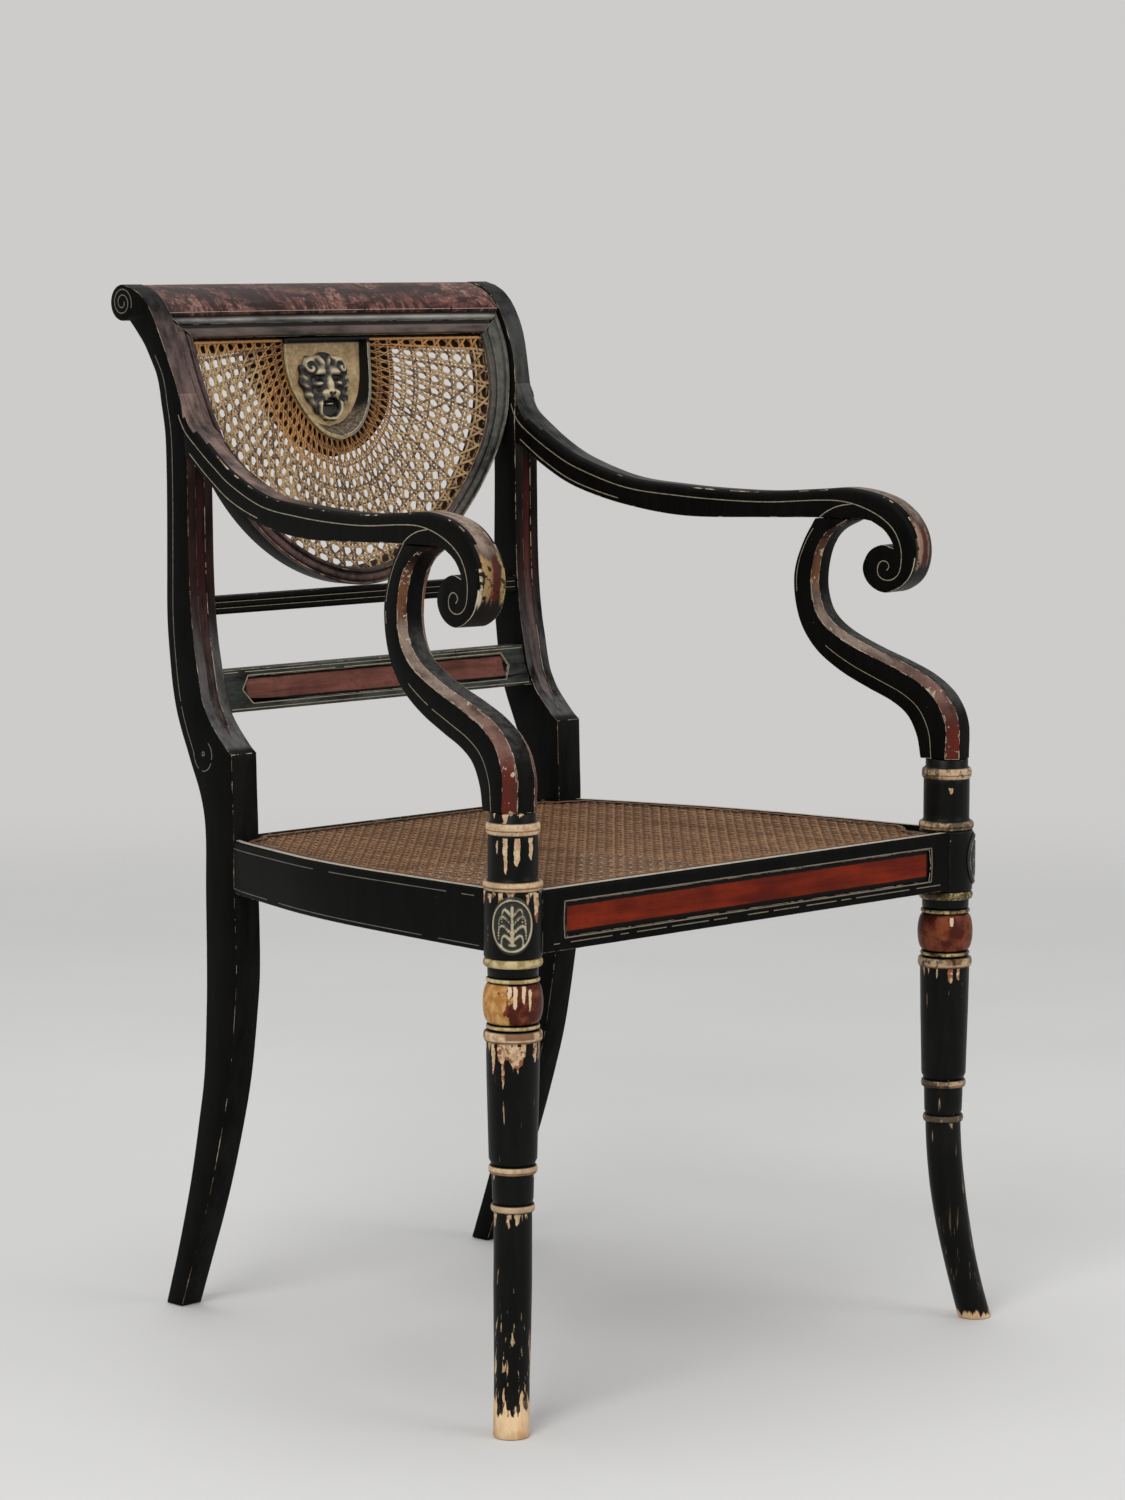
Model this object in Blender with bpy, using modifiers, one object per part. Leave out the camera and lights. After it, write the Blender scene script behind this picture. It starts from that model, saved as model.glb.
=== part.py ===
# Cane armchair: ebonised scroll-over elbow chair with caned seat and caned back.
# Metres, +Z up, the chair faces -Y and is mirror-symmetric about X = 0.
import bpy
import bmesh
import math
from mathutils import Vector

MM = 0.001
GAP = 0.3          # clearance between touching pieces, millimetres
CENTRE_Y = 37.3    # taken off every depth, so the origin is under the middle

# Seat
SEAT_FRONT = 410.8  # top of the rails at the front leg
SEAT_REAR = 406.0  # and at the rear post: the seat falls slightly to the back
RAIL_BOTTOM = 363.0
RAIL_WIDTH = 30.0
FRONT_WIDTH = 26.0
EDGE = 3.0         # worn slope along the rails' top edge
LIP = 7.0          # edge of the rails outside the cane
REBATE = 4.0       # step down from the lip to the bed of the cane
CANE_SEAT = 2.0    # thickness of the seat cane
FRONT_FACE = -237.0
REAR_FACE = 181.0
REAR_WIDTH = 29.0

# Front legs
LEG_X = 247.5
LEG_Y = -220.0
LEG_TOP = 470.0
BLOCK_R = 22.0
SABRE_Z = 172.0    # the leg bends out below this height
KICK = (20.5, -19.5)
LEG_STEPS = 16

# Rear posts
POST_IN = 172.3
POST_OUT = 199.3
FOOT_IN = 166.5
FOOT_OUT = 187.5
SCROLL = (290.0, 842.0, 15.0)
FLARE_OUT = 7.0
FLARE_IN = 14.0

# Back
BOW_SAG = 23.5     # how far the back is hollowed in plan at the crest
CREST_BOTTOM = 812.0
BAND_TOP = 831.0
OPEN_HALF = 163.5  # caned opening, half width at the crest
OPEN_TURN = 795.0  # the opening's sides run straight down to here
OPEN_LOW = 616.0
BOW_DEPTH = 27.0
CANE_DEPTH = 8.4   # middle of the back cane behind the line of the posts
CANE_THICK = 1.6
RIM_DEPTH = 4.0    # front of the shield's rim
FIELD_HIGH = 13.0  # depth of the shield's sunk field under the crest
FIELD_LOW = 18.0   # and at its point
DISH = 13.2        # how far the shield and the cane round it are set behind the hollow

# Arms
ARM_WIDTH = 25.5
ARM_SPLAY = 0.144  # sideways run of the arm per unit of depth
ARM_BOW = 4.0      # the arm swells outwards between leg and post
CHAMFER = 5.7

for old in list(bpy.data.objects):
    bpy.data.objects.remove(old, do_unlink=True)

parts = bpy.data.collections.new("cane_armchair")
cutters = bpy.data.collections.new("cutters")
bpy.context.scene.collection.children.link(parts)
bpy.context.scene.collection.children.link(cutters)


def material(name, colour, roughness, metallic=0.0):
    mat = bpy.data.materials.new(name)
    mat.use_nodes = True
    shader = mat.node_tree.nodes["Principled BSDF"]
    shader.inputs["Base Color"].default_value = (*colour, 1.0)
    shader.inputs["Roughness"].default_value = roughness
    shader.inputs["Metallic"].default_value = metallic
    mat.diffuse_color = (*colour, 1.0)
    return mat


ebony = material("ebonised_wood", (0.012, 0.011, 0.010), 0.38)
ebony_gilt = material("ebonised_parcel_gilt", (0.030, 0.024, 0.016), 0.40)
rosewood = material("grained_rosewood", (0.105, 0.040, 0.032), 0.42)
red_panel = material("ebonised_red_panel", (0.120, 0.022, 0.010), 0.42)
bronze = material("patinated_gilt", (0.210, 0.160, 0.070), 0.45, 0.4)
gold_cane = material("golden_cane", (0.480, 0.300, 0.120), 0.55)
brown_cane = material("brown_cane", (0.200, 0.120, 0.075), 0.60)


def place(obj, mat, collection):
    if mat:
        obj.data.materials.append(mat)
    collection.objects.link(obj)
    return obj


def solid(name, verts, faces, mat=None, collection=None):
    mesh = bpy.data.meshes.new(name)
    shifted = [(x * MM, (y - CENTRE_Y) * MM, z * MM) for x, y, z in verts]
    mesh.from_pydata(shifted, [], faces)
    form = bmesh.new()
    form.from_mesh(mesh)
    bmesh.ops.remove_doubles(form, verts=form.verts, dist=0.00001)
    bmesh.ops.recalc_face_normals(form, faces=form.faces)
    form.to_mesh(mesh)
    form.free()
    obj = bpy.data.objects.new(name, mesh)
    return place(obj, mat, collection or parts)


def loft(name, rings, mat=None, collection=None, ring_closed=False):
    count = len(rings[0])
    verts = [p for r in rings for p in r]
    faces = []
    spans = len(rings) if ring_closed else len(rings) - 1
    for i in range(spans):
        a = i * count
        b = ((i + 1) % len(rings)) * count
        for j in range(count):
            k = (j + 1) % count
            faces.append((a + j, a + k, b + k, b + j))
    if not ring_closed:
        faces.append(tuple(range(count - 1, -1, -1)))
        last = (len(rings) - 1) * count
        faces.append(tuple(range(last, last + count)))
    return solid(name, verts, faces, mat, collection)


def cutter_box(name, x, y, z):
    ring = [[(xx, yy, zz) for yy, zz in ((y[0], z[0]), (y[1], z[0]), (y[1], z[1]), (y[0], z[1]))]
            for xx in x]
    return as_cutter(loft(name, ring, None, cutters))


def cutter_round(name, x, y, radius, z, steps=36):
    rings = []
    for zz in z:
        turn = [2 * math.pi * (i + 0.5) / steps for i in range(steps)]
        rings.append([(x + radius * math.cos(a), y + radius * math.sin(a), zz) for a in turn])
    return as_cutter(loft(name, rings, None, cutters))


def as_cutter(obj):
    obj.hide_render = True
    obj.display_type = "WIRE"
    return obj


def combine(obj, tool, operation):
    mod = obj.modifiers.new(tool.name, "BOOLEAN")
    mod.operation = operation
    mod.solver = "EXACT"
    mod.object = tool


def cut(obj, tool):
    combine(obj, tool, "DIFFERENCE")


def join(obj, tool):
    combine(obj, tool, "UNION")


def lerp(a, b, t):
    return a + (b - a) * t


def ease(low, high, v):
    t = min(1.0, max(0.0, (v - low) / (high - low)))
    return t * t * (3.0 - 2.0 * t)


def spline(points, per_span):
    # Smooth curve through the points (Catmull-Rom), several samples a span.
    pts = [Vector((*p, 0.0)[:3]) for p in points]
    ext = [pts[0] * 2 - pts[1]] + pts + [pts[-1] * 2 - pts[-2]]
    out = []
    for i in range(1, len(ext) - 2):
        a, b, c, d = ext[i - 1:i + 3]
        for s in range(per_span):
            t = s / per_span
            p = b * 2 + (c - a) * t + (a * 2 - b * 5 + c * 4 - d) * t ** 2
            p = (p + (b * 3 - a - c * 3 + d) * t ** 3) / 2
            out.append((p.x, p.y))
    out.append((pts[-1].x, pts[-1].y))
    return out


def even(points, count):
    # The same curve with evenly spaced samples.
    runs = [0.0]
    for a, b in zip(points, points[1:]):
        runs.append(runs[-1] + math.dist(a, b))
    out = []
    k = 0
    for i in range(count):
        want = runs[-1] * i / (count - 1)
        while k < len(runs) - 2 and runs[k + 1] < want:
            k += 1
        t = (want - runs[k]) / max(1e-9, runs[k + 1] - runs[k])
        out.append((lerp(points[k][0], points[k + 1][0], t), lerp(points[k][1], points[k + 1][1], t)))
    return out


def value_at(curve, z):
    # First coordinate of a rising curve at the height z.
    for (a, za), (b, zb) in zip(curve, curve[1:]):
        if za <= z <= zb:
            return lerp(a, b, (z - za) / max(1e-9, zb - za))
    return curve[0][0] if z < curve[0][1] else curve[-1][0]


# Rear posts: side profile as pairs of (depth, height), front edge and back edge.
POST_FRONT = [(247, 0), (229, 44), (214, 80), (200, 118), (186, 162), (174.5, 205), (165.5, 259),
              (161, 300), (161, 366), (161, 412), (162, 440), (163, 476), (171, 482), (188, 499),
              (196, 511), (201, 523), (206.3, 548), (209.6, 564), (213, 590), (215.2, 626), (216.2, 679),
              (217, 715), (219.2, 737), (224, 761), (227.2, 773), (232, 789), (236.8, 803),
              (241.2, 814), (246, 824), (251.9, 834)]
POST_BACK = [(267, 0), (251, 44), (239, 80), (227.5, 118), (216.5, 162), (207, 205), (201.5, 259),
             (199, 300), (197, 366), (197, 412), (203, 440), (215, 466), (220, 477), (227, 492),
             (233, 508), (237.5, 527), (240.5, 548), (243, 571), (244, 594), (243.5, 632), (243, 680),
             (243.5, 720), (245, 740), (249, 760), (250, 771), (252, 784), (257, 796), (263, 808),
             (272, 819), (282, 829)]
SCROLL_LEAD = [(257.4, 841), (266, 848.5), (277, 854)]
BACK_LINE = POST_FRONT[11:] + SCROLL_LEAD


def back_line(z):
    return value_at(BACK_LINE, z)


def post_out(z):
    if z < 360:
        return lerp(FOOT_OUT, POST_OUT, z / 360)
    return POST_OUT + FLARE_OUT * ease(755, 827, z)


def post_in(z):
    if z < 360:
        return lerp(FOOT_IN, POST_IN, z / 360)
    return POST_IN + FLARE_IN * ease(718, 802, z)


def sag(x, z):
    rise = min(1.0, max(0.0, (z - 600) / 195))
    return BOW_SAG * rise * (1.0 - (x / (POST_IN + FLARE_IN)) ** 2)


def panel(x, z, depth):
    # A point of the hollowed back: depth is measured behind the posts' front line.
    return (x, back_line(z) + sag(x, z) + depth, z)


def dish(z):
    # The caned middle falls behind the bow below the crest.
    return DISH * ease(830, 765, z)


def dished(x, z, depth):
    return panel(x, z, depth + dish(z))


def scroll_arc(start, end, count, radius):
    cy, cz, _ = SCROLL
    angles = [math.radians(lerp(start, end, i / (count - 1))) for i in range(count)]
    return [(cy + radius * math.cos(a), cz + radius * math.sin(a)) for a in angles]


def rear_post(name, side):
    verts = []
    faces = []
    for (yf, zf), (yb, zb) in zip(POST_FRONT, POST_BACK):
        verts += [(side * post_in(zf), yf, zf), (side * post_out(zf), yf, zf),
                  (side * post_out(zb), yb, zb), (side * post_in(zb), yb, zb)]
    rows = len(POST_FRONT)
    for i in range(rows - 1):
        for j in range(4):
            k = (j + 1) % 4
            faces.append((4 * i + j, 4 * i + k, 4 * i + 4 + k, 4 * i + 4 + j))
    faces.append((0, 1, 2, 3))
    head = SCROLL_LEAD + scroll_arc(95, -124, 15, SCROLL[2])
    base = len(verts)
    for y, z in head:
        verts += [(side * post_in(z), y, z), (side * post_out(max(z, 829)), y, z)]
    top = 4 * (rows - 1)
    inner = [top] + [base + 2 * i for i in range(len(head))] + [top + 3]
    outer = [top + 1] + [base + 2 * i + 1 for i in range(len(head))] + [top + 2]
    for i in range(len(inner) - 1):
        faces.append((inner[i], outer[i], outer[i + 1], inner[i + 1]))
    faces.append(tuple(inner))
    faces.append(tuple(reversed(outer)))
    return solid(name, verts, faces, ebony)


def post_strip(name, side, heights, width, depth):
    # Sunk strip along the middle of the post's front, pointed at its lower end.
    rings = []
    for i, z in enumerate(heights):
        mid = (post_in(z) + post_out(z)) / 2
        half = 0.3 if i == 0 else width / 2
        y = back_line(z)
        rings.append([(side * (mid - half), y - 4, z), (side * (mid + half), y - 4, z),
                      (side * (mid + half), y + depth, z), (side * (mid - half), y + depth, z)])
    return as_cutter(loft(name, rings, None, cutters))


# Front legs: turned profile from the top down.
def ring(z, radius, tall, neck):
    return [(neck, z + tall / 2), (radius, z + tall / 4), (radius, z - tall / 4), (neck, z - tall / 2)]


def ball(z, radius, waist, tall, count=6):
    turn = [math.pi * (0.5 - i / (count - 1)) for i in range(count)]
    return [(waist + (radius - waist) * math.cos(a), z + tall / 2 * math.sin(a)) for a in turn]


LEG_PROFILE = [(0, LEG_TOP), (17.5, LEG_TOP), (17.5, 464)]
LEG_PROFILE += ring(458, 20.6, 9, 19)
LEG_PROFILE += [(19, 420)] + ring(415, 22.8, 7, 20.5)
LEG_PROFILE += [(BLOCK_R, 411), (BLOCK_R, 361)] + ring(357, 22.6, 7, 19.5)
LEG_PROFILE += [(19.3, 347)] + ring(343.5, 20.4, 4, 18)
LEG_PROFILE += ball(326, 22.7, 17.5, 31) + ring(308, 20.4, 4, 18.5)
LEG_PROFILE += ring(301, 22.4, 8, 20.8) + [(18.4, 207)]
LEG_PROFILE += ring(199, 18.6, 7, 16.4) + [(15.6, 176)]
LEG_PROFILE += ring(169.5, 16.8, 6.5, 14.8)
LEG_PROFILE += [(14.6, 140), (14.7, 110), (14.3, 80), (13.7, 52), (13.5, 26), (13.8, 0), (0, 0)]


def front_leg(name, side):
    mesh = bpy.data.meshes.new(name + "_profile")
    points = [(r * MM, 0.0, z * MM) for r, z in LEG_PROFILE]
    mesh.from_pydata(points, [(i, i + 1) for i in range(len(points) - 1)], [])
    blank = bpy.data.objects.new(name + "_blank", mesh)
    cutters.objects.link(blank)
    turn = blank.modifiers.new("turned", "SCREW")
    turn.axis = "Z"
    turn.angle = 2 * math.pi
    turn.steps = LEG_STEPS
    turn.render_steps = LEG_STEPS
    turn.use_merge_vertices = True
    turn.merge_threshold = 0.00001
    bpy.context.view_layer.update()
    graph = bpy.context.evaluated_depsgraph_get()
    turned = bpy.data.meshes.new_from_object(blank.evaluated_get(graph))
    bpy.data.objects.remove(blank, do_unlink=True)
    verts = []
    for v in turned.vertices:
        z = v.co.z / MM
        bend = max(0.0, (SABRE_Z - z) / SABRE_Z) ** 1.8
        verts.append((side * (v.co.x / MM + LEG_X + KICK[0] * bend),
                      v.co.y / MM + LEG_Y + KICK[1] * bend, z))
    faces = [tuple(p.vertices) for p in turned.polygons]
    bpy.data.meshes.remove(turned)
    return solid(name, verts, faces, ebony_gilt)


def patera_relief(r, a):
    leaf = max(0.0, math.cos(3.5 * (a - math.pi / 2))) * math.sin(math.pi * min(1.0, r / 0.8))
    if r > 0.95:
        return 1.2
    return 2.0 if r > 0.75 else 0.8 + 1.2 * leaf


def patera(name, side):
    # Oval palmette wrapped on the leg's round block, facing out on the diagonal.
    half_w, half_h, mid_z = 16.5, 22.0, 387.0
    radius = BLOCK_R + GAP
    front, back, faces = relief_disc(5, 3, 24, patera_relief)
    verts = []
    for across, up, lift in front + back:
        turn = math.radians(-45) + across * half_w / radius
        reach = radius + lift
        verts.append((side * (LEG_X + reach * math.cos(turn)), LEG_Y + reach * math.sin(turn),
                      mid_z + up * half_h))
    return solid(name, verts, faces, bronze)


def relief_disc(rows, back_rows, sectors, relief):
    # Unit disc carved on its front and flat behind: points of both sheets and all faces.
    sheets = []
    faces = []
    for count, carved in ((rows, True), (back_rows, False)):
        base = sum(len(s) for s in sheets)
        sheet = [(0.0, 0.0, relief(0.0, 0.0) if carved else 0.0)]
        for k in range(1, count + 1):
            r = k / count
            for s in range(sectors):
                a = 2 * math.pi * s / sectors
                sheet.append((r * math.cos(a), r * math.sin(a), relief(r, a) if carved else 0.0))
        for s in range(sectors):
            t = (s + 1) % sectors
            faces.append((base, base + 1 + s, base + 1 + t))
            for k in range(count - 1):
                a = base + 1 + k * sectors
                b = a + sectors
                faces.append((a + s, b + s, b + t, a + t))
        sheets.append(sheet)
    front = 1 + (rows - 1) * sectors
    behind = len(sheets[0]) + 1 + (back_rows - 1) * sectors
    for s in range(sectors):
        t = (s + 1) % sectors
        faces.append((front + s, behind + s, behind + t, front + t))
    return sheets[0], sheets[1], faces


# Arms and their supports lie in an upright plane splayed outwards to the front.
def splayed(side, y, z, across):
    norm = math.hypot(1.0, ARM_SPLAY)
    twist = 1.0 - ease(60, 200, y)
    run = min(1.0, max(0.0, (y - LEG_Y) / 420.0))
    x = LEG_X - (y - LEG_Y) * ARM_SPLAY + ARM_BOW * math.sin(math.pi * run)
    return (side * (x + across / norm), y + twist * across * ARM_SPLAY / norm, z)


ARM_TOP = [(225.8, 769), (214, 748), (196, 733.5), (173, 718.5), (147, 705.5), (99, 691), (46, 686),
           (0, 684), (-46, 684), (-90, 687), (-128, 689.5), (-162, 683.5), (-183, 671), (-195, 653),
           (-196, 633), (-187, 615), (-167, 604.5), (-150, 609.5), (-142, 623), (-148, 637.5),
           (-161, 644), (-172.5, 641.5)]
ARM_UNDER = [(-173, 645), (-168, 655), (-157, 663), (-142, 664.5), (-98, 664), (-43, 662), (39, 660),
             (102, 667.5), (153, 681), (186, 698), (213, 717)]


def arm(name, side):
    end = [(back_line(z) - GAP, z) for z in (717, 737, 761)]
    top = even(spline(ARM_TOP, 6), 46)
    under = even(spline(ARM_UNDER, 6), 20)
    outline = top + under + end
    count = len(outline)
    inset = []
    for i in range(count):
        ax, az = outline[i - 1]
        bx, bz = outline[(i + 1) % count]
        size = math.hypot(bx - ax, bz - az)
        along = i / (len(top) - 1)
        fade = ease(0.0, 0.05, along) * (1.0 - ease(0.72, 0.86, along)) if i < len(top) else 0.0
        ny, nz = (az - bz) / size, (bx - ax) / size
        inset.append((outline[i][0] + CHAMFER * fade * ny, outline[i][1] + CHAMFER * fade * nz))
    half = ARM_WIDTH / 2
    rings = []
    for across, shape in ((-half, inset), (CHAMFER - half, outline), (half - CHAMFER, outline), (half, inset)):
        rings.append([splayed(side, y, z, across) for y, z in shape])
    return loft(name, rings, ebony_gilt)


SUPPORT_BACK = [(-204, 470.3), (-200, 488), (-190, 504.5), (-174, 515), (-151, 524), (-123, 536),
                (-99, 551), (-84, 568), (-76, 587), (-73, 608), (-75, 625), (-83, 645), (-94, 663.2)]
SUPPORT_FRONT = [(-236.5, 470.3), (-236, 500), (-225, 522), (-205, 537), (-178.5, 548), (-149, 558),
                 (-120, 570.5), (-103, 584), (-96, 601), (-96, 619), (-104, 639), (-117, 653),
                 (-134, 663.2)]


def arm_support(name, side):
    back = spline(SUPPORT_BACK, 2)
    front = spline(SUPPORT_FRONT, 2)
    rings = []
    for (yb, zb), (yf, zf) in zip(back, front):
        spread = 1.0 - ease(475, 575, (zb + zf) / 2)
        half = (ARM_WIDTH + 7.0 * spread) / 2
        leg = CHAMFER + 2.8 * spread
        size = math.hypot(yb - yf, zb - zf)
        ys = yf + (yb - yf) * leg / size
        zs = zf + (zb - zf) * leg / size
        rings.append([splayed(side, y, z, a) for y, z, a in (
            (yb, zb, -half), (yb, zb, half), (ys, zs, half),
            (yf, zf, half - leg), (yf, zf, leg - half), (ys, zs, -half))])
    return loft(name, rings, ebony_gilt)


def support_tenons(name, side):
    y0, y1 = -123, -105
    rings = []
    for z in (650.0, 676.0):
        rings.append([splayed(side, y, z, a) for y, a in ((y0, -4.5), (y1, -4.5), (y1, 4.5), (y0, 4.5))])
    upper = as_cutter(loft(name + "_upper_tenon", rings, None, cutters))
    lower = cutter_round(name + "_dowel", side * LEG_X, LEG_Y, 8.0, (446.0, 482.0), 24)
    socket = []
    for z in (640.0, 676.0 + GAP):
        socket.append([splayed(side, y, z, a) for y, a in (
            (y0 - GAP, -4.5 - GAP), (y1 + GAP, -4.5 - GAP), (y1 + GAP, 4.5 + GAP), (y0 - GAP, 4.5 + GAP))])
    mortise = as_cutter(loft(name + "_arm_mortise", socket, None, cutters))
    return upper, lower, mortise


# Back: crest rail, bow frame, cane, tablet and mask all follow the hollowed back.
def bead(z, mid, radius):
    d = abs(z - mid) / radius
    return math.sqrt(max(0.0, 1.0 - d * d)) * radius


def crest_section():
    low = [CREST_BOTTOM + 0.2, 812.8, 814.6, 817.2, 819.8, 821.2, 823.2, 824.2, 826.6, 829, 830.2, BAND_TOP]
    front = []
    for z in low:
        depth = 5.0 - bead(z, 817, 4.4) * 0.75 - bead(z, 827, 3.4) * 0.75
        front.append((back_line(z) + depth, z))
    front += [(back_line(834) + 1.2, 834), (258.4, 841), (267.4, 848), (278, 853.4)]
    back = scroll_arc(94, -122, 13, SCROLL[2] - 0.5)
    return front + back + [(272, 820.5), (262.5, CREST_BOTTOM + 0.2)]


def crest_rail():
    reach = POST_IN + FLARE_IN - GAP
    section = crest_section()
    rings = []
    for i in range(13):
        x = lerp(-reach, reach, i / 12)
        rings.append([(x, y + sag(x, max(z, 795)), z) for y, z in section])
    return loft("crest_rail", rings, rosewood)


def mitre_cutter(side):
    reach = POST_IN + FLARE_IN + 4
    slope = (BAND_TOP - CREST_BOTTOM) / (POST_IN + FLARE_IN - OPEN_HALF)
    top = CREST_BOTTOM + slope * (reach - OPEN_HALF)
    tri = [(OPEN_HALF - 4, CREST_BOTTOM - slope * 4), (reach, top), (reach, CREST_BOTTOM - slope * 4)]
    name = "mitre_left" if side < 0 else "mitre_right"
    return as_cutter(loft(name, [[(side * x, y, z) for x, z in tri] for y in (225, 280)], None, cutters))


def bow_pairs(count):
    # Matching inner and outer points of the bow, from the left mitre to the right one.
    power = 1.85
    drop = OPEN_TURN - OPEN_LOW
    ends = ((CREST_BOTTOM - 0.6, BAND_TOP - 1.0), (804.0, 812.0))
    side_run = [((OPEN_HALF, low), (post_in(high) - 2 * GAP, high)) for low, high in ends]
    pairs = [((-i[0], i[1]), (-o[0], o[1])) for i, o in side_run]
    for i in range(count):
        t = lerp(-math.pi / 2, math.pi / 2, i / (count - 1))
        s, c = math.sin(t), max(0.0, math.cos(t))
        x = OPEN_HALF * math.copysign(abs(s) ** (2 / power), s)
        z = OPEN_TURN - drop * c ** (2 / power)
        down = (OPEN_TURN - z) / drop
        nx = math.copysign((abs(x) / OPEN_HALF) ** (power - 1) / OPEN_HALF, x)
        nz = -down ** (power - 1) / drop
        size = math.hypot(nx, nz)
        width = lerp(23.0, 14.4, math.sqrt(down))
        ox, oz = x + nx / size * width, z + nz / size * width
        limit = post_in(oz) - 3 * GAP
        pairs.append(((x, z), (max(-limit, min(limit, ox)), oz)))
    return pairs + side_run[::-1]


# Across the bow from its inner edge: two beads, then a groove for the cane in the inner edge.
GROOVE = (CANE_DEPTH - 1.7, CANE_DEPTH + 1.7)
BOW_SECTION = [(0.0, GROOVE[0]), (0.02, 5.0), (0.10, 3.0), (0.20, 2.6), (0.29, 3.6), (0.34, 6.0),
               (0.48, 5.4), (0.62, 6.0), (0.68, 3.8), (0.82, 2.6), (0.96, 4.0), (1.0, 6.0),
               (1.0, BOW_DEPTH), (0.0, BOW_DEPTH), (0.0, GROOVE[1]), (0.28, GROOVE[1]), (0.28, GROOVE[0])]


def panel_bow():
    rings = []
    for (ix, iz), (ox, oz) in bow_pairs(37):
        rings.append([panel(lerp(ix, ox, w), lerp(iz, oz, w), d) for w, d in BOW_SECTION])
    return loft("panel_bow", rings, ebony)


def shield_outline(count, scale=1.0):
    # Flat top, straight sides, drawn in to a rounded point.
    half = [(48.5, 811.2), (48.5, 792), (47, 775), (41.5, 758), (31.5, 741.5), (17.5, 729), (0, 723.5)]
    right = even(spline(half, 5), count)
    mid = 772.0
    right = [(x * scale, mid + (z - mid) * scale) for x, z in right]
    return [(-x, z) for x, z in right] + [(x, z) for x, z in reversed(right[:-1])]


def shield_field(count, scale):
    # The sunk field: close to the rim at the sides, with a sloping sill above the point.
    outline = shield_outline(count, scale)
    return [(x * 0.90, 772.0 + (z - 772.0) * (0.76 if z < 772.0 else 0.93)) for x, z in outline]


def field_depth(z):
    return lerp(FIELD_LOW, FIELD_HIGH, (z - 735.0) / 70.0)


def shield_tablet():
    # A niche let through the cane, with a flange lying on the cane's face.
    back = FIELD_LOW + 2.0
    flange = CANE_DEPTH - 2.0
    levels = [(0.06, back), (0.5, back), (0.942, back), (0.942, flange), (1.0, flange), (1.0, RIM_DEPTH + 1.4),
              (0.985, RIM_DEPTH), (0.93, RIM_DEPTH)]
    rings = []
    for scale, depth in levels:
        rings.append([dished(x, z, depth) for x, z in shield_outline(13, scale)])
    for scale in (1.0, 0.65, 0.35, 0.06):
        rings.append([dished(x, z, field_depth(z)) for x, z in shield_field(13, scale)])
    return loft("shield_tablet", rings, bronze)


def bump(x, z, cx, cz, wx, wz):
    return math.exp(-((x - cx) / wx) ** 2 - ((z - cz) / wz) ** 2)


def mask_spread(r, a):
    # Place on the tablet of a point of the unit disc: wider at the brow, wavy at the mane.
    wave = 1.0 + 0.05 * math.cos(13 * a + 5) * r
    return 28.5 * r * wave * math.cos(a) * (1.0 + 0.12 * math.sin(a)), 28.5 * r * wave * math.sin(a)


def mask_relief(r, a):
    # Height of the lion's face in millimetres.
    x, z = mask_spread(r, a)
    m = abs(x)
    h = 2.2 + 7.2 * max(0.0, 1.0 - r * r)
    h += 3.2 * bump(m, z, 18, 18, 6, 6)
    h += 3.2 * bump(m, z, 8.5, 13, 6, 4)
    h -= 3.0 * bump(m, z, 10, 8, 4, 3)
    h += 4.0 * bump(x, z, 0, 2, 4.5, 8)
    h += 3.0 * bump(m, z, 6, -5, 5, 4)
    h -= 5.0 * bump(x, z, 0, -17, 8, 6)
    h += 2.4 * bump(x, z, 0, -26, 8, 3)
    h += 2.0 * bump(m, z, 13, -16, 3, 7)
    mane = ease(0.55, 0.8, r) * (1.0 - ease(0.93, 1.0, r))
    h += 3.0 * mane * (0.6 + 0.4 * math.cos(13 * a + 5 * r))
    return 0.6 if r > 0.99 else max(0.8, h)


def lion_mask():
    mid = 768.3
    front, back, faces = relief_disc(12, 4, 34, mask_relief)
    verts = []
    for u, v, lift in front + back:
        x, z = mask_spread(math.hypot(u, v), math.atan2(v, u))
        verts.append(dished(x, mid + z, field_depth(mid + z) - 0.9 - lift))
    return solid("lion_mask", verts, faces, bronze)


def net(name, rows, thickness, mat):
    # Woven sheet: strands two ways, open between; rows hold the strands' edges.
    count = len(rows[0])
    verts = [p for r in rows for p in r]
    faces = []
    for i in range(len(rows) - 1):
        for j in range(count - 1):
            if i % 2 and j % 2:
                continue
            a = i * count + j
            faces.append((a, a + 1, a + count + 1, a + count))
    obj = solid(name, verts, faces, mat)
    shell = obj.modifiers.new("strand", "SOLIDIFY")
    shell.thickness = thickness * MM
    shell.offset = 0.0
    return obj


def strand_edges(count, share):
    # Positions 0..1 of both edges of evenly spread strands.
    edges = []
    for i in range(count):
        mid = lerp(share / 2, 1 - share / 2, i / (count - 1))
        edges += [mid - share / 2, mid + share / 2]
    return edges


def back_cane():
    rays = strand_edges(26, 0.011)
    rounds = strand_edges(8, 0.045)
    rim = [(lerp(i[0], o[0], 0.18), min(810.6, lerp(i[1], o[1], 0.18))) for i, o in bow_pairs(121)]
    rim = even(rim, 601)
    core = even([(x, min(810.6, z)) for x, z in shield_outline(40, 0.965)], 601)
    depth = CANE_DEPTH
    rows = []
    for u in rounds:
        row = []
        for t in rays:
            ax, az = core[round(t * 600)]
            bx, bz = rim[round(t * 600)]
            row.append(panel(lerp(ax, bx, u), lerp(az, bz, u), depth + dish(az) * (1 - u)))
        rows.append(row)
    return net("back_cane", rows, CANE_THICK, gold_cane)


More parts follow.
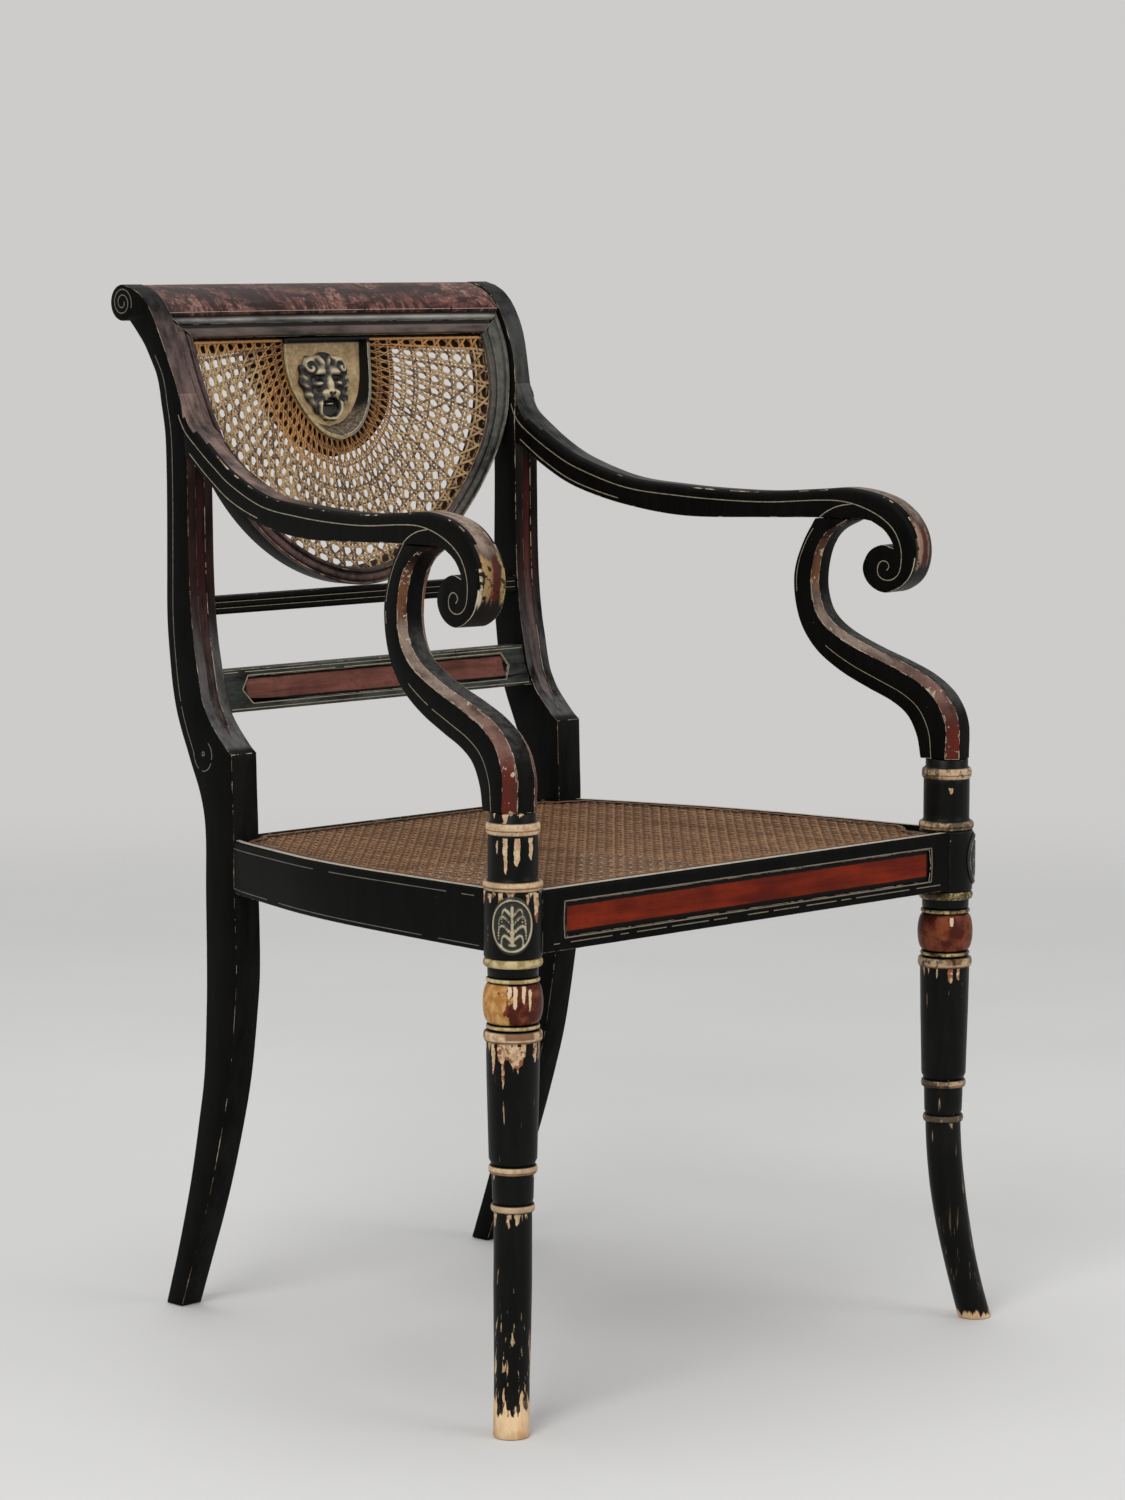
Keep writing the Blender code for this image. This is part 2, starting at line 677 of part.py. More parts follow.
def back_rail(name, low, high, reach, thick, reeds, mat):
    # Straight rail between the posts, following the slope of their front.
    front = []
    steps = 18 if reeds else 5
    for i in range(steps + 1):
        z = lerp(low, high, i / steps)
        relief = abs(math.sin(math.pi * reeds * (z - low) / (high - low))) * 1.6 if reeds else 0.0
        front.append((back_line(z) + 2.4 - relief, z))
    section = front + [(back_line(high) + thick, high), (back_line(low) + thick, low)]
    return loft(name, [[(x, y, z) for y, z in section] for x in (-reach, reach)], mat)


def sunk_panel(name, half, low, high, cant, depth, face):
    # Cutter for a sunk panel with canted ends; face gives the surface depth at a height.
    mid = (low + high) / 2
    levels = [(low, half - cant), (mid, half), (high, half - cant)]
    rings = []
    for dy in (-5.0, depth):
        left = [(-h, face(z) + dy, z) for z, h in levels]
        right = [(h, face(z) + dy, z) for z, h in reversed(levels)]
        rings.append(left + right)
    return as_cutter(loft(name, rings, None, cutters))


# Seat rails
def seat_top(y):
    run = min(1.0, max(0.0, (y + 205.0) / 366.0))
    return lerp(SEAT_FRONT, SEAT_REAR, run)


def rail_section(width, top):
    bed = top - REBATE
    return [(0.0, RAIL_BOTTOM), (0.0, top - EDGE), (EDGE, top), (LIP, top), (LIP, bed), (width, bed),
            (width, RAIL_BOTTOM)]


SIDE_PLAN = [(199.3, 160.7), (207, 141), (222, 88), (236, 32), (245.5, -30), (251.5, -105), (256, -180),
             (258, -222)]


def side_plan():
    # Outer edge and inward direction of the side rail, from the post to the leg.
    edge = spline(SIDE_PLAN, 3)
    out = []
    for i, (x, y) in enumerate(edge):
        ax, ay = edge[max(0, i - 1)]
        bx, by = edge[min(len(edge) - 1, i + 1)]
        size = math.hypot(bx - ax, by - ay)
        nx, ny = (by - ay) / size, (ax - bx) / size
        blend = ease(0, 6, i)
        nx, ny = lerp(-1.0, nx, blend), lerp(0.0, ny, blend)
        out.append((x, y, nx, ny, lerp(POST_OUT - POST_IN, RAIL_WIDTH, blend)))
    return out


def seat_rail_side(name, side):
    rings = []
    for x, y, nx, ny, width in side_plan():
        section = rail_section(width, seat_top(y))
        rings.append([(side * (x + nx * w), y + ny * w, z) for w, z in section])
    return loft(name, rings, ebony)


def cane_half(y):
    # Half width of the seat cane at a depth, clear of the rails' lip, the posts and the legs.
    if y > 157:
        return POST_IN - GAP - 0.4
    edge = [(x + nx * (LIP + 0.7), yy + ny * (LIP + 0.7)) for x, yy, nx, ny, _ in side_plan()]
    rising = [(x, yy) for x, yy in reversed(edge)]
    corner = LEG_X - BLOCK_R - 1.5 + max(0.0, y - LEG_Y - 21.0)
    return min(corner, value_at(rising, y))


def seat_cane():
    ways = strand_edges(13, 0.022)
    front = FRONT_FACE + LIP + 0.7
    rear = REAR_FACE - LIP - 0.7
    depths = [lerp(front, 150.0, t) for t in strand_edges(13, 0.024)] + [160.0, rear]
    rows = []
    for y in depths:
        half = cane_half(y)
        level = seat_top(y) - REBATE + 0.5 + CANE_SEAT / 2
        rows.append([(lerp(-half, half, u), y, level) for u in ways])
    return net("seat_cane", rows, CANE_SEAT, brown_cane)


def seat_binding():
    # Flat strip of cane laid over the peg holes, once round the seat.
    front, rear = FRONT_FACE + LIP + 6.0, REAR_FACE - LIP - 6.0
    right = []
    for i in range(14):
        y = lerp(front + 1.0, 150.0, i / 13)
        right.append((cane_half(y) - 6.0, y))
    right += [(POST_IN - 8.0, 160.0), (POST_IN - 9.0, rear)]
    loop = right + [(-x, y) for x, y in reversed(right)]
    count = len(loop)
    rings = []
    for i in range(count):
        ax, ay = loop[i - 1]
        bx, by = loop[(i + 1) % count]
        size = math.hypot(bx - ax, by - ay)
        nx, ny = (by - ay) / size, (ax - bx) / size
        x, y = loop[i]
        level = seat_top(y) - REBATE + 0.5 + CANE_SEAT + 0.4
        rings.append([(x + nx * w, y + ny * w, z) for w, z in (
            (-1.5, level), (1.5, level), (1.5, level + 0.9), (-1.5, level + 0.9))])
    return loft("seat_binding", rings, brown_cane, None, True)


# Build the pieces, then cut their joints.
posts = {}
legs = {}
arms = {}
supports = {}
sides = {}
for word, side in (("left", -1), ("right", 1)):
    posts[side] = rear_post("rear_post_" + word, side)
    legs[side] = front_leg("front_leg_" + word, side)
    arms[side] = arm("arm_" + word, side)
    supports[side] = arm_support("arm_support_" + word, side)
    sides[side] = seat_rail_side("seat_rail_" + word, side)
    patera("patera_" + word, side)

crest = crest_rail()
panel_bow()
back_cane()
shield_tablet()
lion_mask()
reeded = back_rail("reeded_rail", 586.0, 600.8, POST_IN - GAP, 14.0, 3, ebony)
tablet = back_rail("tablet_rail", 506.0, 540.0, POST_IN - GAP, 17.0, 0, red_panel)
front_section = rail_section(FRONT_WIDTH, SEAT_FRONT)
front_rail = loft("seat_rail_front", [[(x, FRONT_FACE + w, z) for w, z in front_section]
                                      for x in (-LEG_X, LEG_X)], red_panel)
rear_section = rail_section(REAR_WIDTH, SEAT_REAR)
rear_reach = POST_IN - GAP
rear_rail = loft("seat_rail_rear", [[(x, REAR_FACE - w, z) for w, z in rear_section]
                                    for x in (-rear_reach, rear_reach)], ebony)
seat_cane()
seat_binding()

cut(tablet, sunk_panel("tablet_panel", 151.0, 513.0, 533.5, 7.0, 2.0, lambda z: back_line(z) + 2.4))
cut(front_rail, sunk_panel("front_panel", 209.0, 373.5, 399.0, 2.0, 2.0, lambda z: FRONT_FACE))

TENON_Z = (371.0, 399.0)


def tenon(piece, holder, name, x, y, z):
    # The tongue joins its piece; a slightly larger hole is cut in the holder.
    join(piece, cutter_box(name + "_tenon", x, y, z))
    wide = [(min(v) - GAP, max(v) + GAP) for v in (x, y, z)]
    cut(holder, cutter_box(name + "_mortise", *wide))


for word, side in (("left", -1), ("right", 1)):
    leg, post = legs[side], posts[side]
    scribe = cutter_round("scribe_" + word, side * LEG_X, LEG_Y, BLOCK_R + GAP, (340.0, 440.0))
    cut(front_rail, scribe)
    cut(sides[side], scribe)

    def across(a, b):
        return tuple(sorted((side * a, side * b)))

    tenon(front_rail, leg, "front_rail_" + word, across(214, 242), (-229, -219), TENON_Z)
    tenon(sides[side], leg, "side_rail_front_" + word, across(246.5, 253), (-212, -188), TENON_Z)
    tenon(sides[side], post, "side_rail_rear_" + word, across(184, 192), (148, 176), TENON_Z)
    tenon(rear_rail, post, "rear_rail_" + word, across(162, 180), (166, 174), TENON_Z)
    tenon(tablet, post, "tablet_rail_" + word, across(162, 183), (207, 214), (515, 531))
    tenon(reeded, post, "reeded_rail_" + word, across(162, 183), (218, 225), (589, 598))
    tenon(crest, post, "crest_rail_" + word, across(176, 197), (264, 280), (835, 846))
    tenon(arms[side], post, "arm_rear_" + word, across(181.5, 190.5), (206, 232), (722, 737))

    upper, lower, mortise = support_tenons("arm_support_" + word, side)
    join(supports[side], upper)
    join(supports[side], lower)
    cut(arms[side], mortise)
    cut(leg, cutter_round("dowel_hole_" + word, side * LEG_X, LEG_Y, 8.0 + GAP, (445.5, 480.0), 24))

    cut(post, post_strip("lower_strip_" + word, side, [488, 500, 523, 560, 600, 660, 712], 9.0, 1.2))
    cut(crest, mitre_cutter(side))
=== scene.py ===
import bpy
import bmesh
import math
import random
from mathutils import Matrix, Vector, geometry, noise


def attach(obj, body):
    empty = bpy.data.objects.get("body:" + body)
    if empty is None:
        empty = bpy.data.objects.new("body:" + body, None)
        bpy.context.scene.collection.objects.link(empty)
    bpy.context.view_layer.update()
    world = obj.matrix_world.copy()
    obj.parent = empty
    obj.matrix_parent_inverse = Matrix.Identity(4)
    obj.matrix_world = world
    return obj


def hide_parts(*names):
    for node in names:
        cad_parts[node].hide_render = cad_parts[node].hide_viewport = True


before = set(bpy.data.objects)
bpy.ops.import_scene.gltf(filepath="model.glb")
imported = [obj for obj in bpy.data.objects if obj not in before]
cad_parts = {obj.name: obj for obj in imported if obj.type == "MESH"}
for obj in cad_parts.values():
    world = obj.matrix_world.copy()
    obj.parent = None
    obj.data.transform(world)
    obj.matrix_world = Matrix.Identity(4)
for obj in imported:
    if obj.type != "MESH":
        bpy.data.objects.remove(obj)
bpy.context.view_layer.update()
scene = bpy.context.scene
mm = 0.001
middleDepth = 37.3   # depth of the chair's middle, taken off every depth below
joint = 0.3          # gap between pieces that touch, millimetres
proud = 0.02         # how far a painted line stands off its face
print("frame loaded:", len(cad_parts), "nodes")


# small curves and meshes, all in millimetres
def lerp(a, b, t):
    return a + (b - a) * t


def between(p, q, t):
    return tuple(lerp(a, b, t) for a, b in zip(p, q))


def around(middle, radius, turn):
    return middle[0] + radius * math.cos(turn), middle[1] + radius * math.sin(turn)


def fullTurn(count, start=0.0):
    return [2 * math.pi * (s + start) / count for s in range(count)]


def spread(a, b, count):
    return [lerp(a, b, i / (count - 1)) for i in range(count)]


def unit(v):
    return min(1.0, max(0.0, v))


def ease(low, high, v):
    t = unit((v - low) / (high - low))
    return t * t * (3.0 - 2.0 * t)


def spline(points, perSpan):
    pts = [Vector((p[0], p[1])) for p in points]
    ext = [pts[0] * 2 - pts[1]] + pts + [pts[-1] * 2 - pts[-2]]
    out = []
    for i in range(1, len(ext) - 2):
        a, b, c, d = ext[i - 1:i + 3]
        for s in range(perSpan):
            t = s / perSpan
            p = b * 2 + (c - a) * t + (a * 2 - b * 5 + c * 4 - d) * t ** 2 + (b * 3 - a - c * 3 + d) * t ** 3
            out.append((p.x / 2, p.y / 2))
    return out + [tuple(pts[-1])]


def even(points, count):
    runs = [0.0]
    for a, b in zip(points, points[1:]):
        runs.append(runs[-1] + math.dist(a, b))
    out, k = [], 0
    for i in range(count):
        want = runs[-1] * i / (count - 1)
        while k < len(runs) - 2 and runs[k + 1] < want:
            k += 1
        t = (want - runs[k]) / max(1e-9, runs[k + 1] - runs[k])
        out.append(between(points[k], points[k + 1], t))
    return out


def valueAt(curve, z):
    for (a, za), (b, zb) in zip(curve, curve[1:]):
        if za <= z <= zb:
            return lerp(a, b, (z - za) / max(1e-9, zb - za))
    return curve[0][0] if z < curve[0][1] else curve[-1][0]


# unit normals to the left of a flat line
def leftNormals(points, closed=False):
    out, last = [], len(points) - 1
    for i in range(len(points)):
        ax, ay = points[i - 1 if closed else max(0, i - 1)]
        bx, by = points[(i + 1) % len(points) if closed else min(last, i + 1)]
        size = math.hypot(bx - ax, by - ay)
        out.append(((ay - by) / size, (bx - ax) / size))
    return out


def offsetLine(points, distance):
    return [(x + distance * nx, y + distance * ny) for (x, y), (nx, ny) in zip(points, leftNormals(points))]


def makeMesh(name, verts, faces, paints, slots=None, merge=True, outward=True):
    mesh = bpy.data.meshes.new(name)
    mesh.from_pydata([(x * mm, (y - middleDepth) * mm, z * mm) for x, y, z in verts], [], faces)
    for paint in paints:
        mesh.materials.append(paint)
    if slots:
        mesh.polygons.foreach_set("material_index", slots)
    if outward:
        form = bmesh.new()
        form.from_mesh(mesh)
        if merge:
            bmesh.ops.remove_doubles(form, verts=form.verts, dist=1e-5)
        bmesh.ops.recalc_face_normals(form, faces=form.faces)
        form.to_mesh(mesh)
        form.free()
    piece = bpy.data.objects.new(name, mesh)
    scene.collection.objects.link(piece)
    return piece


def loftFaces(rings, count, slotOf=None, closed=False, caps=True):
    faces, slots = [], []
    spans = rings if closed else rings - 1
    for i in range(spans):
        a, b = i * count, ((i + 1) % rings) * count
        for j in range(count):
            k = (j + 1) % count
            faces.append((a + j, a + k, b + k, b + j))
            slots.append(slotOf(i, j) if slotOf else 0)
    if caps and not closed:
        last = (rings - 1) * count
        faces += [tuple(range(count - 1, -1, -1)), tuple(range(last, last + count))]
        slots += [0, 0]
    return faces, slots


def loft(name, rings, paints, slotOf=None):
    faces, slots = loftFaces(len(rings), len(rings[0]), slotOf)
    return makeMesh(name, [p for r in rings for p in r], faces, paints, slots)


# the sides of a four-sided strip, from the ring that starts at a to the next one
def stripSides(a):
    return [(a + j, a + (j + 1) % 4, a + 4 + (j + 1) % 4, a + 4 + j) for j in range(4)]


# a left and a right piece
def makePair(make, name, node):
    for word, side in (("Left", -1), ("Right", 1)):
        make(name + word, node + word.lower(), side)


# values on the points, which the paints read
def markPoints(piece, name, values):
    piece.data.attributes.new(name, "FLOAT", "POINT").data.foreach_set("value", values)


def settle(piece):
    graph = bpy.context.evaluated_depsgraph_get()
    mesh = bpy.data.meshes.new_from_object(piece.evaluated_get(graph))
    old = piece.data
    piece.modifiers.clear()
    piece.data = mesh
    bpy.data.meshes.remove(old)


# rounds the sharp outward edges and marks their crowns, so that the paint can be rubbed through there
def roundEdges(piece, width):
    sharpFrom = 28   # degrees
    mesh = piece.data
    form = bmesh.new()
    form.from_mesh(mesh)
    weight = form.edges.layers.float.new("bevel_weight_edge")
    for e in form.edges:
        if len(e.link_faces) == 2 and math.degrees(e.calc_face_angle_signed(0.0)) > sharpFrom:
            e[weight] = 1.0
    form.to_mesh(mesh)
    form.free()
    spare = len(mesh.materials)
    mesh.materials.append(mesh.materials[0])
    bevel = piece.modifiers.new("arris", "BEVEL")
    bevel.width, bevel.segments, bevel.limit_method = width * mm, 2, "WEIGHT"
    bevel.use_clamp_overlap, bevel.material = False, spare
    settle(piece)
    mesh = piece.data
    form = bmesh.new()
    form.from_mesh(mesh)
    marks = [1.0 if all(f.material_index == spare for f in v.link_faces) else 0.0 for v in form.verts]
    rounded = [f for f in form.faces if f.material_index == spare]
    homes = []
    for f in rounded:
        near = [g.material_index for e in f.edges for g in e.link_faces if g.material_index != spare]
        homes.append(near[0] if near else 0)
    for f, home in zip(rounded, homes):
        f.material_index = home
    form.to_mesh(mesh)
    form.free()
    mesh.materials.pop(index=spare)
    markPoints(piece, "arris", marks)


def enter(piece, nodes):
    for node in nodes:
        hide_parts(node)
    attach(piece, "root")


def dress(piece, nodes, rounding, sharp=38):
    if rounding:
        roundEdges(piece, rounding)
    piece.data.shade_smooth()
    piece.data.set_sharp_from_angle(angle=math.radians(sharp))
    enter(piece, nodes)


# no rubbing where one piece runs on into the next
def calm(piece, test):
    for v, mark in zip(piece.data.vertices, piece.data.attributes["arris"].data):
        if test(v.co.y / mm + middleDepth, v.co.z / mm):
            mark.value = 0.0


# shader maths
class Wire:
    def __init__(self, tree, socket=None):
        self.tree, self.socket = tree, socket

    def make(self, kind, settings=None, values=None, out=0):
        node = self.tree.nodes.new("ShaderNode" + kind)
        for key, value in (settings or {}).items():
            if key == "stops":
                ramp = node.color_ramp.elements
                while len(ramp) < len(value):
                    ramp.new(0.5)
                for stop, (place, colour) in zip(ramp, value):
                    stop.position, stop.color = place, (*colour, 1.0)
            else:
                setattr(node, key, value)
        for key, value in (values or {}).items():
            if isinstance(value, Wire):
                self.tree.links.new(value.socket, node.inputs[key])
            else:
                node.inputs[key].default_value = value
        return Wire(self.tree, node.outputs[out])

    def maths(self, operation, a, b):
        return self.make("Math", {"operation": operation}, {0: a, 1: b})

    def __add__(self, other):
        return self.maths("ADD", self, other)

    def __sub__(self, other):
        return self.maths("SUBTRACT", self, other)

    def __rsub__(self, other):
        return self.maths("SUBTRACT", other, self)

    def __mul__(self, other):
        return self.maths("MULTIPLY", self, other)

    def __truediv__(self, other):
        return self.maths("DIVIDE", self, other)

    __radd__ = __add__
    __rmul__ = __mul__

    def top(self, other):
        return self.maths("MAXIMUM", self, other)

    def over(self, low, high):
        return self.make("MapRange", {"interpolation_type": "SMOOTHSTEP"},
                         {"Value": self, "From Min": low, "From Max": high})

    def past(self, start, soft):
        return self.over(start, start + soft)

    def band(self, low, high, soft):
        return self.over(low - soft, low + soft) * (1 - self.over(high - soft, high + soft))

    def mix(self, a, b):
        a = (*a, 1.0) if isinstance(a, tuple) else a
        b = (*b, 1.0) if isinstance(b, tuple) else b
        return self.make("Mix", {"data_type": "RGBA"}, {0: self, 6: a, 7: b}, 2)

    def stretched(self, scale):
        return self.make("Mapping", {}, {"Vector": self, "Scale": scale})

    def noise(self, scale, detail=3.0, rough=0.55, warp=0.0):
        return self.make("TexNoise", {}, {"Vector": self, "Scale": scale, "Detail": detail,
                                          "Roughness": rough, "Distortion": warp})

    def axis(self, index):   # in millimetres
        return self.make("SeparateXYZ", {}, {0: self}, index) * 1000

    def mark(self, name):
        return self.make("Attribute", {"attribute_name": name}, {}, 2)

    def crowns(self, low=0.25):
        return self.mark("arris").over(low, 0.6)


def topOf(masks):
    out = masks[0]
    for mask in masks[1:]:
        out = out.top(mask)
    return out


def startPaint(name):
    paint = bpy.data.materials.new(name)
    paint.use_nodes = True
    wire = Wire(paint.node_tree)
    return paint, wire, wire.make("TexCoord", out=3)


def dim(colour, share):
    return tuple(share * c for c in colour)


def setPaint(paint, fixed, colour, rough, height=None, depth=0.3):
    grain = 0.0004   # height of the finest relief, metres
    inputs = paint.node_tree.nodes["Principled BSDF"].inputs
    for key, value in fixed.items():
        inputs[key].default_value = value
    feeds = {"Base Color": colour, "Roughness": rough}
    if height:
        feeds["Normal"] = height.make("Bump", {}, {"Strength": depth, "Distance": grain, "Height": height})
    for key, wire in feeds.items():
        paint.node_tree.links.new(wire.socket, inputs[key])
    return paint


soot = (0.0012, 0.0011, 0.0010)


# height zones of a colour: blends through (height in millimetres, colour) stops; a single colour stays as it is
def byHeight(place, stops):
    if not isinstance(stops, list):
        return stops
    z = place.axis(2)
    colour = stops[0][1]
    for (low, _), (high, tint) in zip(stops, stops[1:]):
        colour = z.over(low, high).mix(colour, tint)
    return colour


# black paint over gesso and wood, rubbed through along the arrises
def blackPaint(name, wear, specks=0.3, paleAndSheen=(0.0042, 0.0038, 0.0035), along=(1, 1, 0.12), rough=0.36,
               shine=0.04, right=None):
    # the lighter colour is one colour or its stops by height, and right is the one on the chair's right side; where the
    # stops lighten faces that lean back and where right turns greyer, the lighter colour is a painted reflection of the
    # sky
    paint, wire, place = startPaint(name)
    cloud = place.noise(16, 4)
    streak = place.stretched(along).noise(150, 4, 0.6)
    flake = place.noise(170, 4, 0.65)
    dash = place.noise(62, 3, 0.6)
    light = byHeight(place, paleAndSheen)
    if right:
        light = place.axis(0).over(70, 135).mix(light, byHeight(place, right))
    colour = (cloud * 0.55 + streak * 0.45).over(0.30, 0.66).mix(soot, light)
    rubbed = wire.crowns() * (dash * 0.7 + flake * 0.3).past(0.60 - 0.16 * wear, 0.03)
    chip = flake.past(0.735 - 0.03 * specks, 0.025) * cloud.over(0.50, 0.62)
    bare = rubbed.top(chip * 0.75)
    under = place.noise(55, 3).over(0.42, 0.6).mix((0.20, 0.135, 0.08), (0.48, 0.41, 0.30))
    return setPaint(paint, {"Specular IOR Level": shine}, bare.mix(colour, under),
                    rough + cloud * 0.2 + bare * 0.25, streak * 0.5 + flake * 0.3 - bare * 0.9, 0.22)


# thin gilding, broken where the size has let go
def gilding(name, gold, dark, loss):
    paint, _, place = startPaint(name)
    cloud = place.noise(45, 4, 0.6)
    flake = place.noise(240, 4, 0.65)
    lost = (cloud * 0.5 + flake * 0.5).past(0.64 - 0.20 * loss, 0.12)
    colour = lost.mix(flake.over(0.3, 0.7).mix(dim(gold, 0.68), gold), dark)
    fixed = {"Metallic": 0.12, "Specular IOR Level": 0.3}
    return setPaint(paint, fixed, colour, 0.45 + flake * 0.2, flake - lost, 0.25)


# painted ground with a streaked glaze: light is a colour or its stops by height;
# window keeps the colour inside (half width, low, high), black outside
def glaze(name, light, dark, grain=(0.10, 1, 1), dirt=0.4, rough=0.42, window=None, chips=0.0):
    paint, wire, place = startPaint(name)
    streak = place.stretched(grain).noise(120, 5, 0.6, 0.4)
    cloud = place.noise(22, 4, 0.6)
    flake = place.noise(210, 3, 0.6)
    colour = (streak * 0.6 + cloud * 0.5).over(0.36, 0.74).mix(dark, byHeight(place, light))
    grimeAndShade = (cloud * 0.6 + flake * 0.5).past(0.60 - 0.06 * dirt, 0.16)
    colour = (grimeAndShade * dirt).mix(colour, (0.018, 0.009, 0.006))
    rubbed = wire.crowns() * (cloud * 0.5 + flake * 0.5).over(0.51, 0.56)
    if chips:
        flaw = flake * 0.6 + place.noise(75, 3) * 0.4 + place.axis(2).over(610, 650) * 0.04
        rubbed = rubbed.top(flaw.past(0.66 - 0.1 * chips, 0.03))
    colour = rubbed.mix(colour, (0.46, 0.37, 0.25))
    if window:
        half, low, high = window
        wobble = (flake - 0.5) * 1.6 + (cloud - 0.5) * 2.0
        inside = (place.axis(0) + wobble).band(-half, half, 0.7)
        inside = inside * (place.axis(2) + wobble * 0.7).band(low, high, 0.5)
        colour = inside.mix((0.006, 0.0045, 0.004), colour)
    return setPaint(paint, {"Specular IOR Level": 0.06}, colour, rough + cloud * 0.2, streak + flake * 0.4, 0.14)


# graining in imitation of rosewood on the crest
def graining(name):
    paint, wire, place = startPaint(name)
    figure = place.stretched((0.16, 1, 1)).noise(95, 6, 0.62, 1.1)
    mottle = place.noise(34, 5, 0.65)
    flake = place.noise(260, 3, 0.6)
    curl = place.stretched((1, 0.3, 0.3)).noise(150, 4, 0.6, 0.8)
    dark, red, pale = (0.018, 0.006, 0.005), (0.130, 0.048, 0.036), (0.23, 0.125, 0.102)
    colour = (figure * 0.5 + mottle * 0.55).over(0.44, 0.62).mix(dark, red)
    colour = (mottle * 0.5 + flake * 0.55).over(0.54, 0.66).mix(colour, pale)
    colour = (curl.over(0.51, 0.58) * 0.82).mix(colour, (0.012, 0.0045, 0.004))
    rubbed = wire.crowns() * (flake * 0.6 + mottle * 0.4).over(0.38, 0.46)
    return setPaint(paint, {"Specular IOR Level": 0.2}, rubbed.mix(colour, (0.40, 0.33, 0.26)),
                    0.38 + mottle * 0.2, figure + flake * 0.3, 0.16)


black = blackPaint("blackPaint", 0.3)
blackWorn = blackPaint("blackPaintRubbed", 0.55, 1.1)
railBlack = blackPaint("railBlack", 0.8, 0.4)
tabletBlack = blackPaint("tabletBlack", 1.0, 0.4, (0.060, 0.066, 0.060), (0.2, 1, 1))
# the posts' front faces: low down, where they lean back, a grey painted reflection of the sky; higher up purple-brown
# on the left post and greyer on the right post, where the grey is painted reflection too
postLowSkySheen = [(478, (0.010, 0.0095, 0.009)), (482, (0.105, 0.100, 0.098)), (540, (0.100, 0.092, 0.090)),
           (610, (0.030, 0.015, 0.013))]
postFaceSheen = blackPaint("postFrontPaintedSheen", 0.8, 0.5, postLowSkySheen + [
    (690, (0.026, 0.014, 0.012)), (745, (0.160, 0.105, 0.094)), (815, (0.125, 0.088, 0.082)),
    (848, (0.030, 0.027, 0.026))], right=postLowSkySheen + [
    (690, (0.020, 0.012, 0.010)), (745, (0.066, 0.068, 0.062)), (830, (0.058, 0.060, 0.056)),
    (848, (0.030, 0.030, 0.028))])
# the bow's beads: a reddish-brown glaze, greyer on the chair's right side, where the grey is a painted reflection of
# the sky
beadPaint = blackPaint("beadPaint", 0.9, 0.8, [
    (600, (0.110, 0.062, 0.052)), (700, (0.150, 0.088, 0.078)), (830, (0.130, 0.082, 0.070))],
    (1, 1, 1), 0.30, 0.2, (0.092, 0.090, 0.074))
# two beads under the crest: brown below, a dark groove, grey above with a painted highlight along its crown, and dark
# at the lower edge
crestBeadWithHighlight = blackPaint("underCrestBeadsWithHighlight", 1.0, 0.8, [
    (812.5, (0.012, 0.009, 0.008)), (814.5, (0.125, 0.082, 0.066)), (819.5, (0.110, 0.072, 0.060)),
    (821.5, (0.006, 0.005, 0.004)), (823.5, (0.006, 0.005, 0.004)), (825.5, (0.110, 0.104, 0.092)),
    (827.6, (0.30, 0.285, 0.25)), (829.4, (0.045, 0.040, 0.036)), (830.5, (0.010, 0.008, 0.007))],
    (0.15, 1, 1), 0.30, 0.25)
# the bow's inner bead: brown, greyer on the right side as painted reflection
innerBead = blackPaint("innerBeadPaint", 0.6, 0.6, [(600, (0.060, 0.036, 0.030)), (820, (0.085, 0.052, 0.046))],
                       (1, 1, 1), 0.34, 0.25, (0.070, 0.060, 0.048))
# the supports' front faces: black, with a grey band between about 528 and 585 mm where the face turns upward, a painted
# reflection of the sky
supportFaceSheen = blackPaint("supportFrontPaintedSheen", 0.45, 1.1, [
    (505, (0.006, 0.0055, 0.005)), (528, (0.062, 0.060, 0.055)), (585, (0.062, 0.060, 0.055)),
    (608, (0.006, 0.005, 0.005))], (1, 1, 1))
goldLine = gilding("goldLine", (0.34, 0.30, 0.20), (0.020, 0.016, 0.011), 0.25)
faintLine = gilding("faintLine", (0.155, 0.145, 0.110), (0.012, 0.011, 0.009), 0.4)
panelLine = gilding("panelLine", (0.225, 0.195, 0.140), (0.022, 0.018, 0.013), 0.4)
lipPaint = gilding("wornLip", (0.46, 0.41, 0.33), (0.020, 0.018, 0.015), 0.4)
# the posts' sunk strips: dark red up the shaft, pale greyish pink low down where the face leans back, partly the
# strip's own pink and partly a painted reflection of the sky
redStrips = {1: glaze("redStrip", [
    (520, (0.165, 0.135, 0.132)), (570, (0.150, 0.095, 0.088)), (625, (0.095, 0.022, 0.017)),
    (712, (0.075, 0.013, 0.010))], (0.016, 0.005, 0.004), (1, 1, 0.10))}
redStrips[-1] = glaze("redStripDark", [
    (520, (0.120, 0.098, 0.094)), (570, (0.080, 0.040, 0.036)), (625, (0.038, 0.008, 0.006)),
    (712, (0.024, 0.006, 0.005))], (0.010, 0.004, 0.003), (1, 1, 0.10))
chamferRed = glaze("chamferRed", [
    (498, (0.125, 0.016, 0.010)), (522, (0.230, 0.122, 0.094)), (560, (0.272, 0.207, 0.164)),
    (600, (0.266, 0.199, 0.150)), (612, (0.210, 0.085, 0.040)), (640, (0.170, 0.070, 0.036)),
    (652, (0.008, 0.006, 0.005))], (0.050, 0.022, 0.017), (1, 0.3, 0.3), chips=0.55)
seatPanelRed = glaze("seatPanelRed", (0.222, 0.022, 0.006), (0.085, 0.009, 0.004), dirt=0.3,
                     window=(205.5, 377.0, 395.5))
backPanelRed = glaze("backPanelRed", (0.205, 0.076, 0.056), (0.075, 0.028, 0.020), dirt=0.45, rough=0.5,
                     window=(147.0, 515.0, 531.5))
rosewood = graining("grainedCrest")
rawWood = glaze("rawWood", (0.050, 0.024, 0.013), (0.016, 0.008, 0.005), (1, 1, 0.2), rough=0.6)
print("paints mixed")


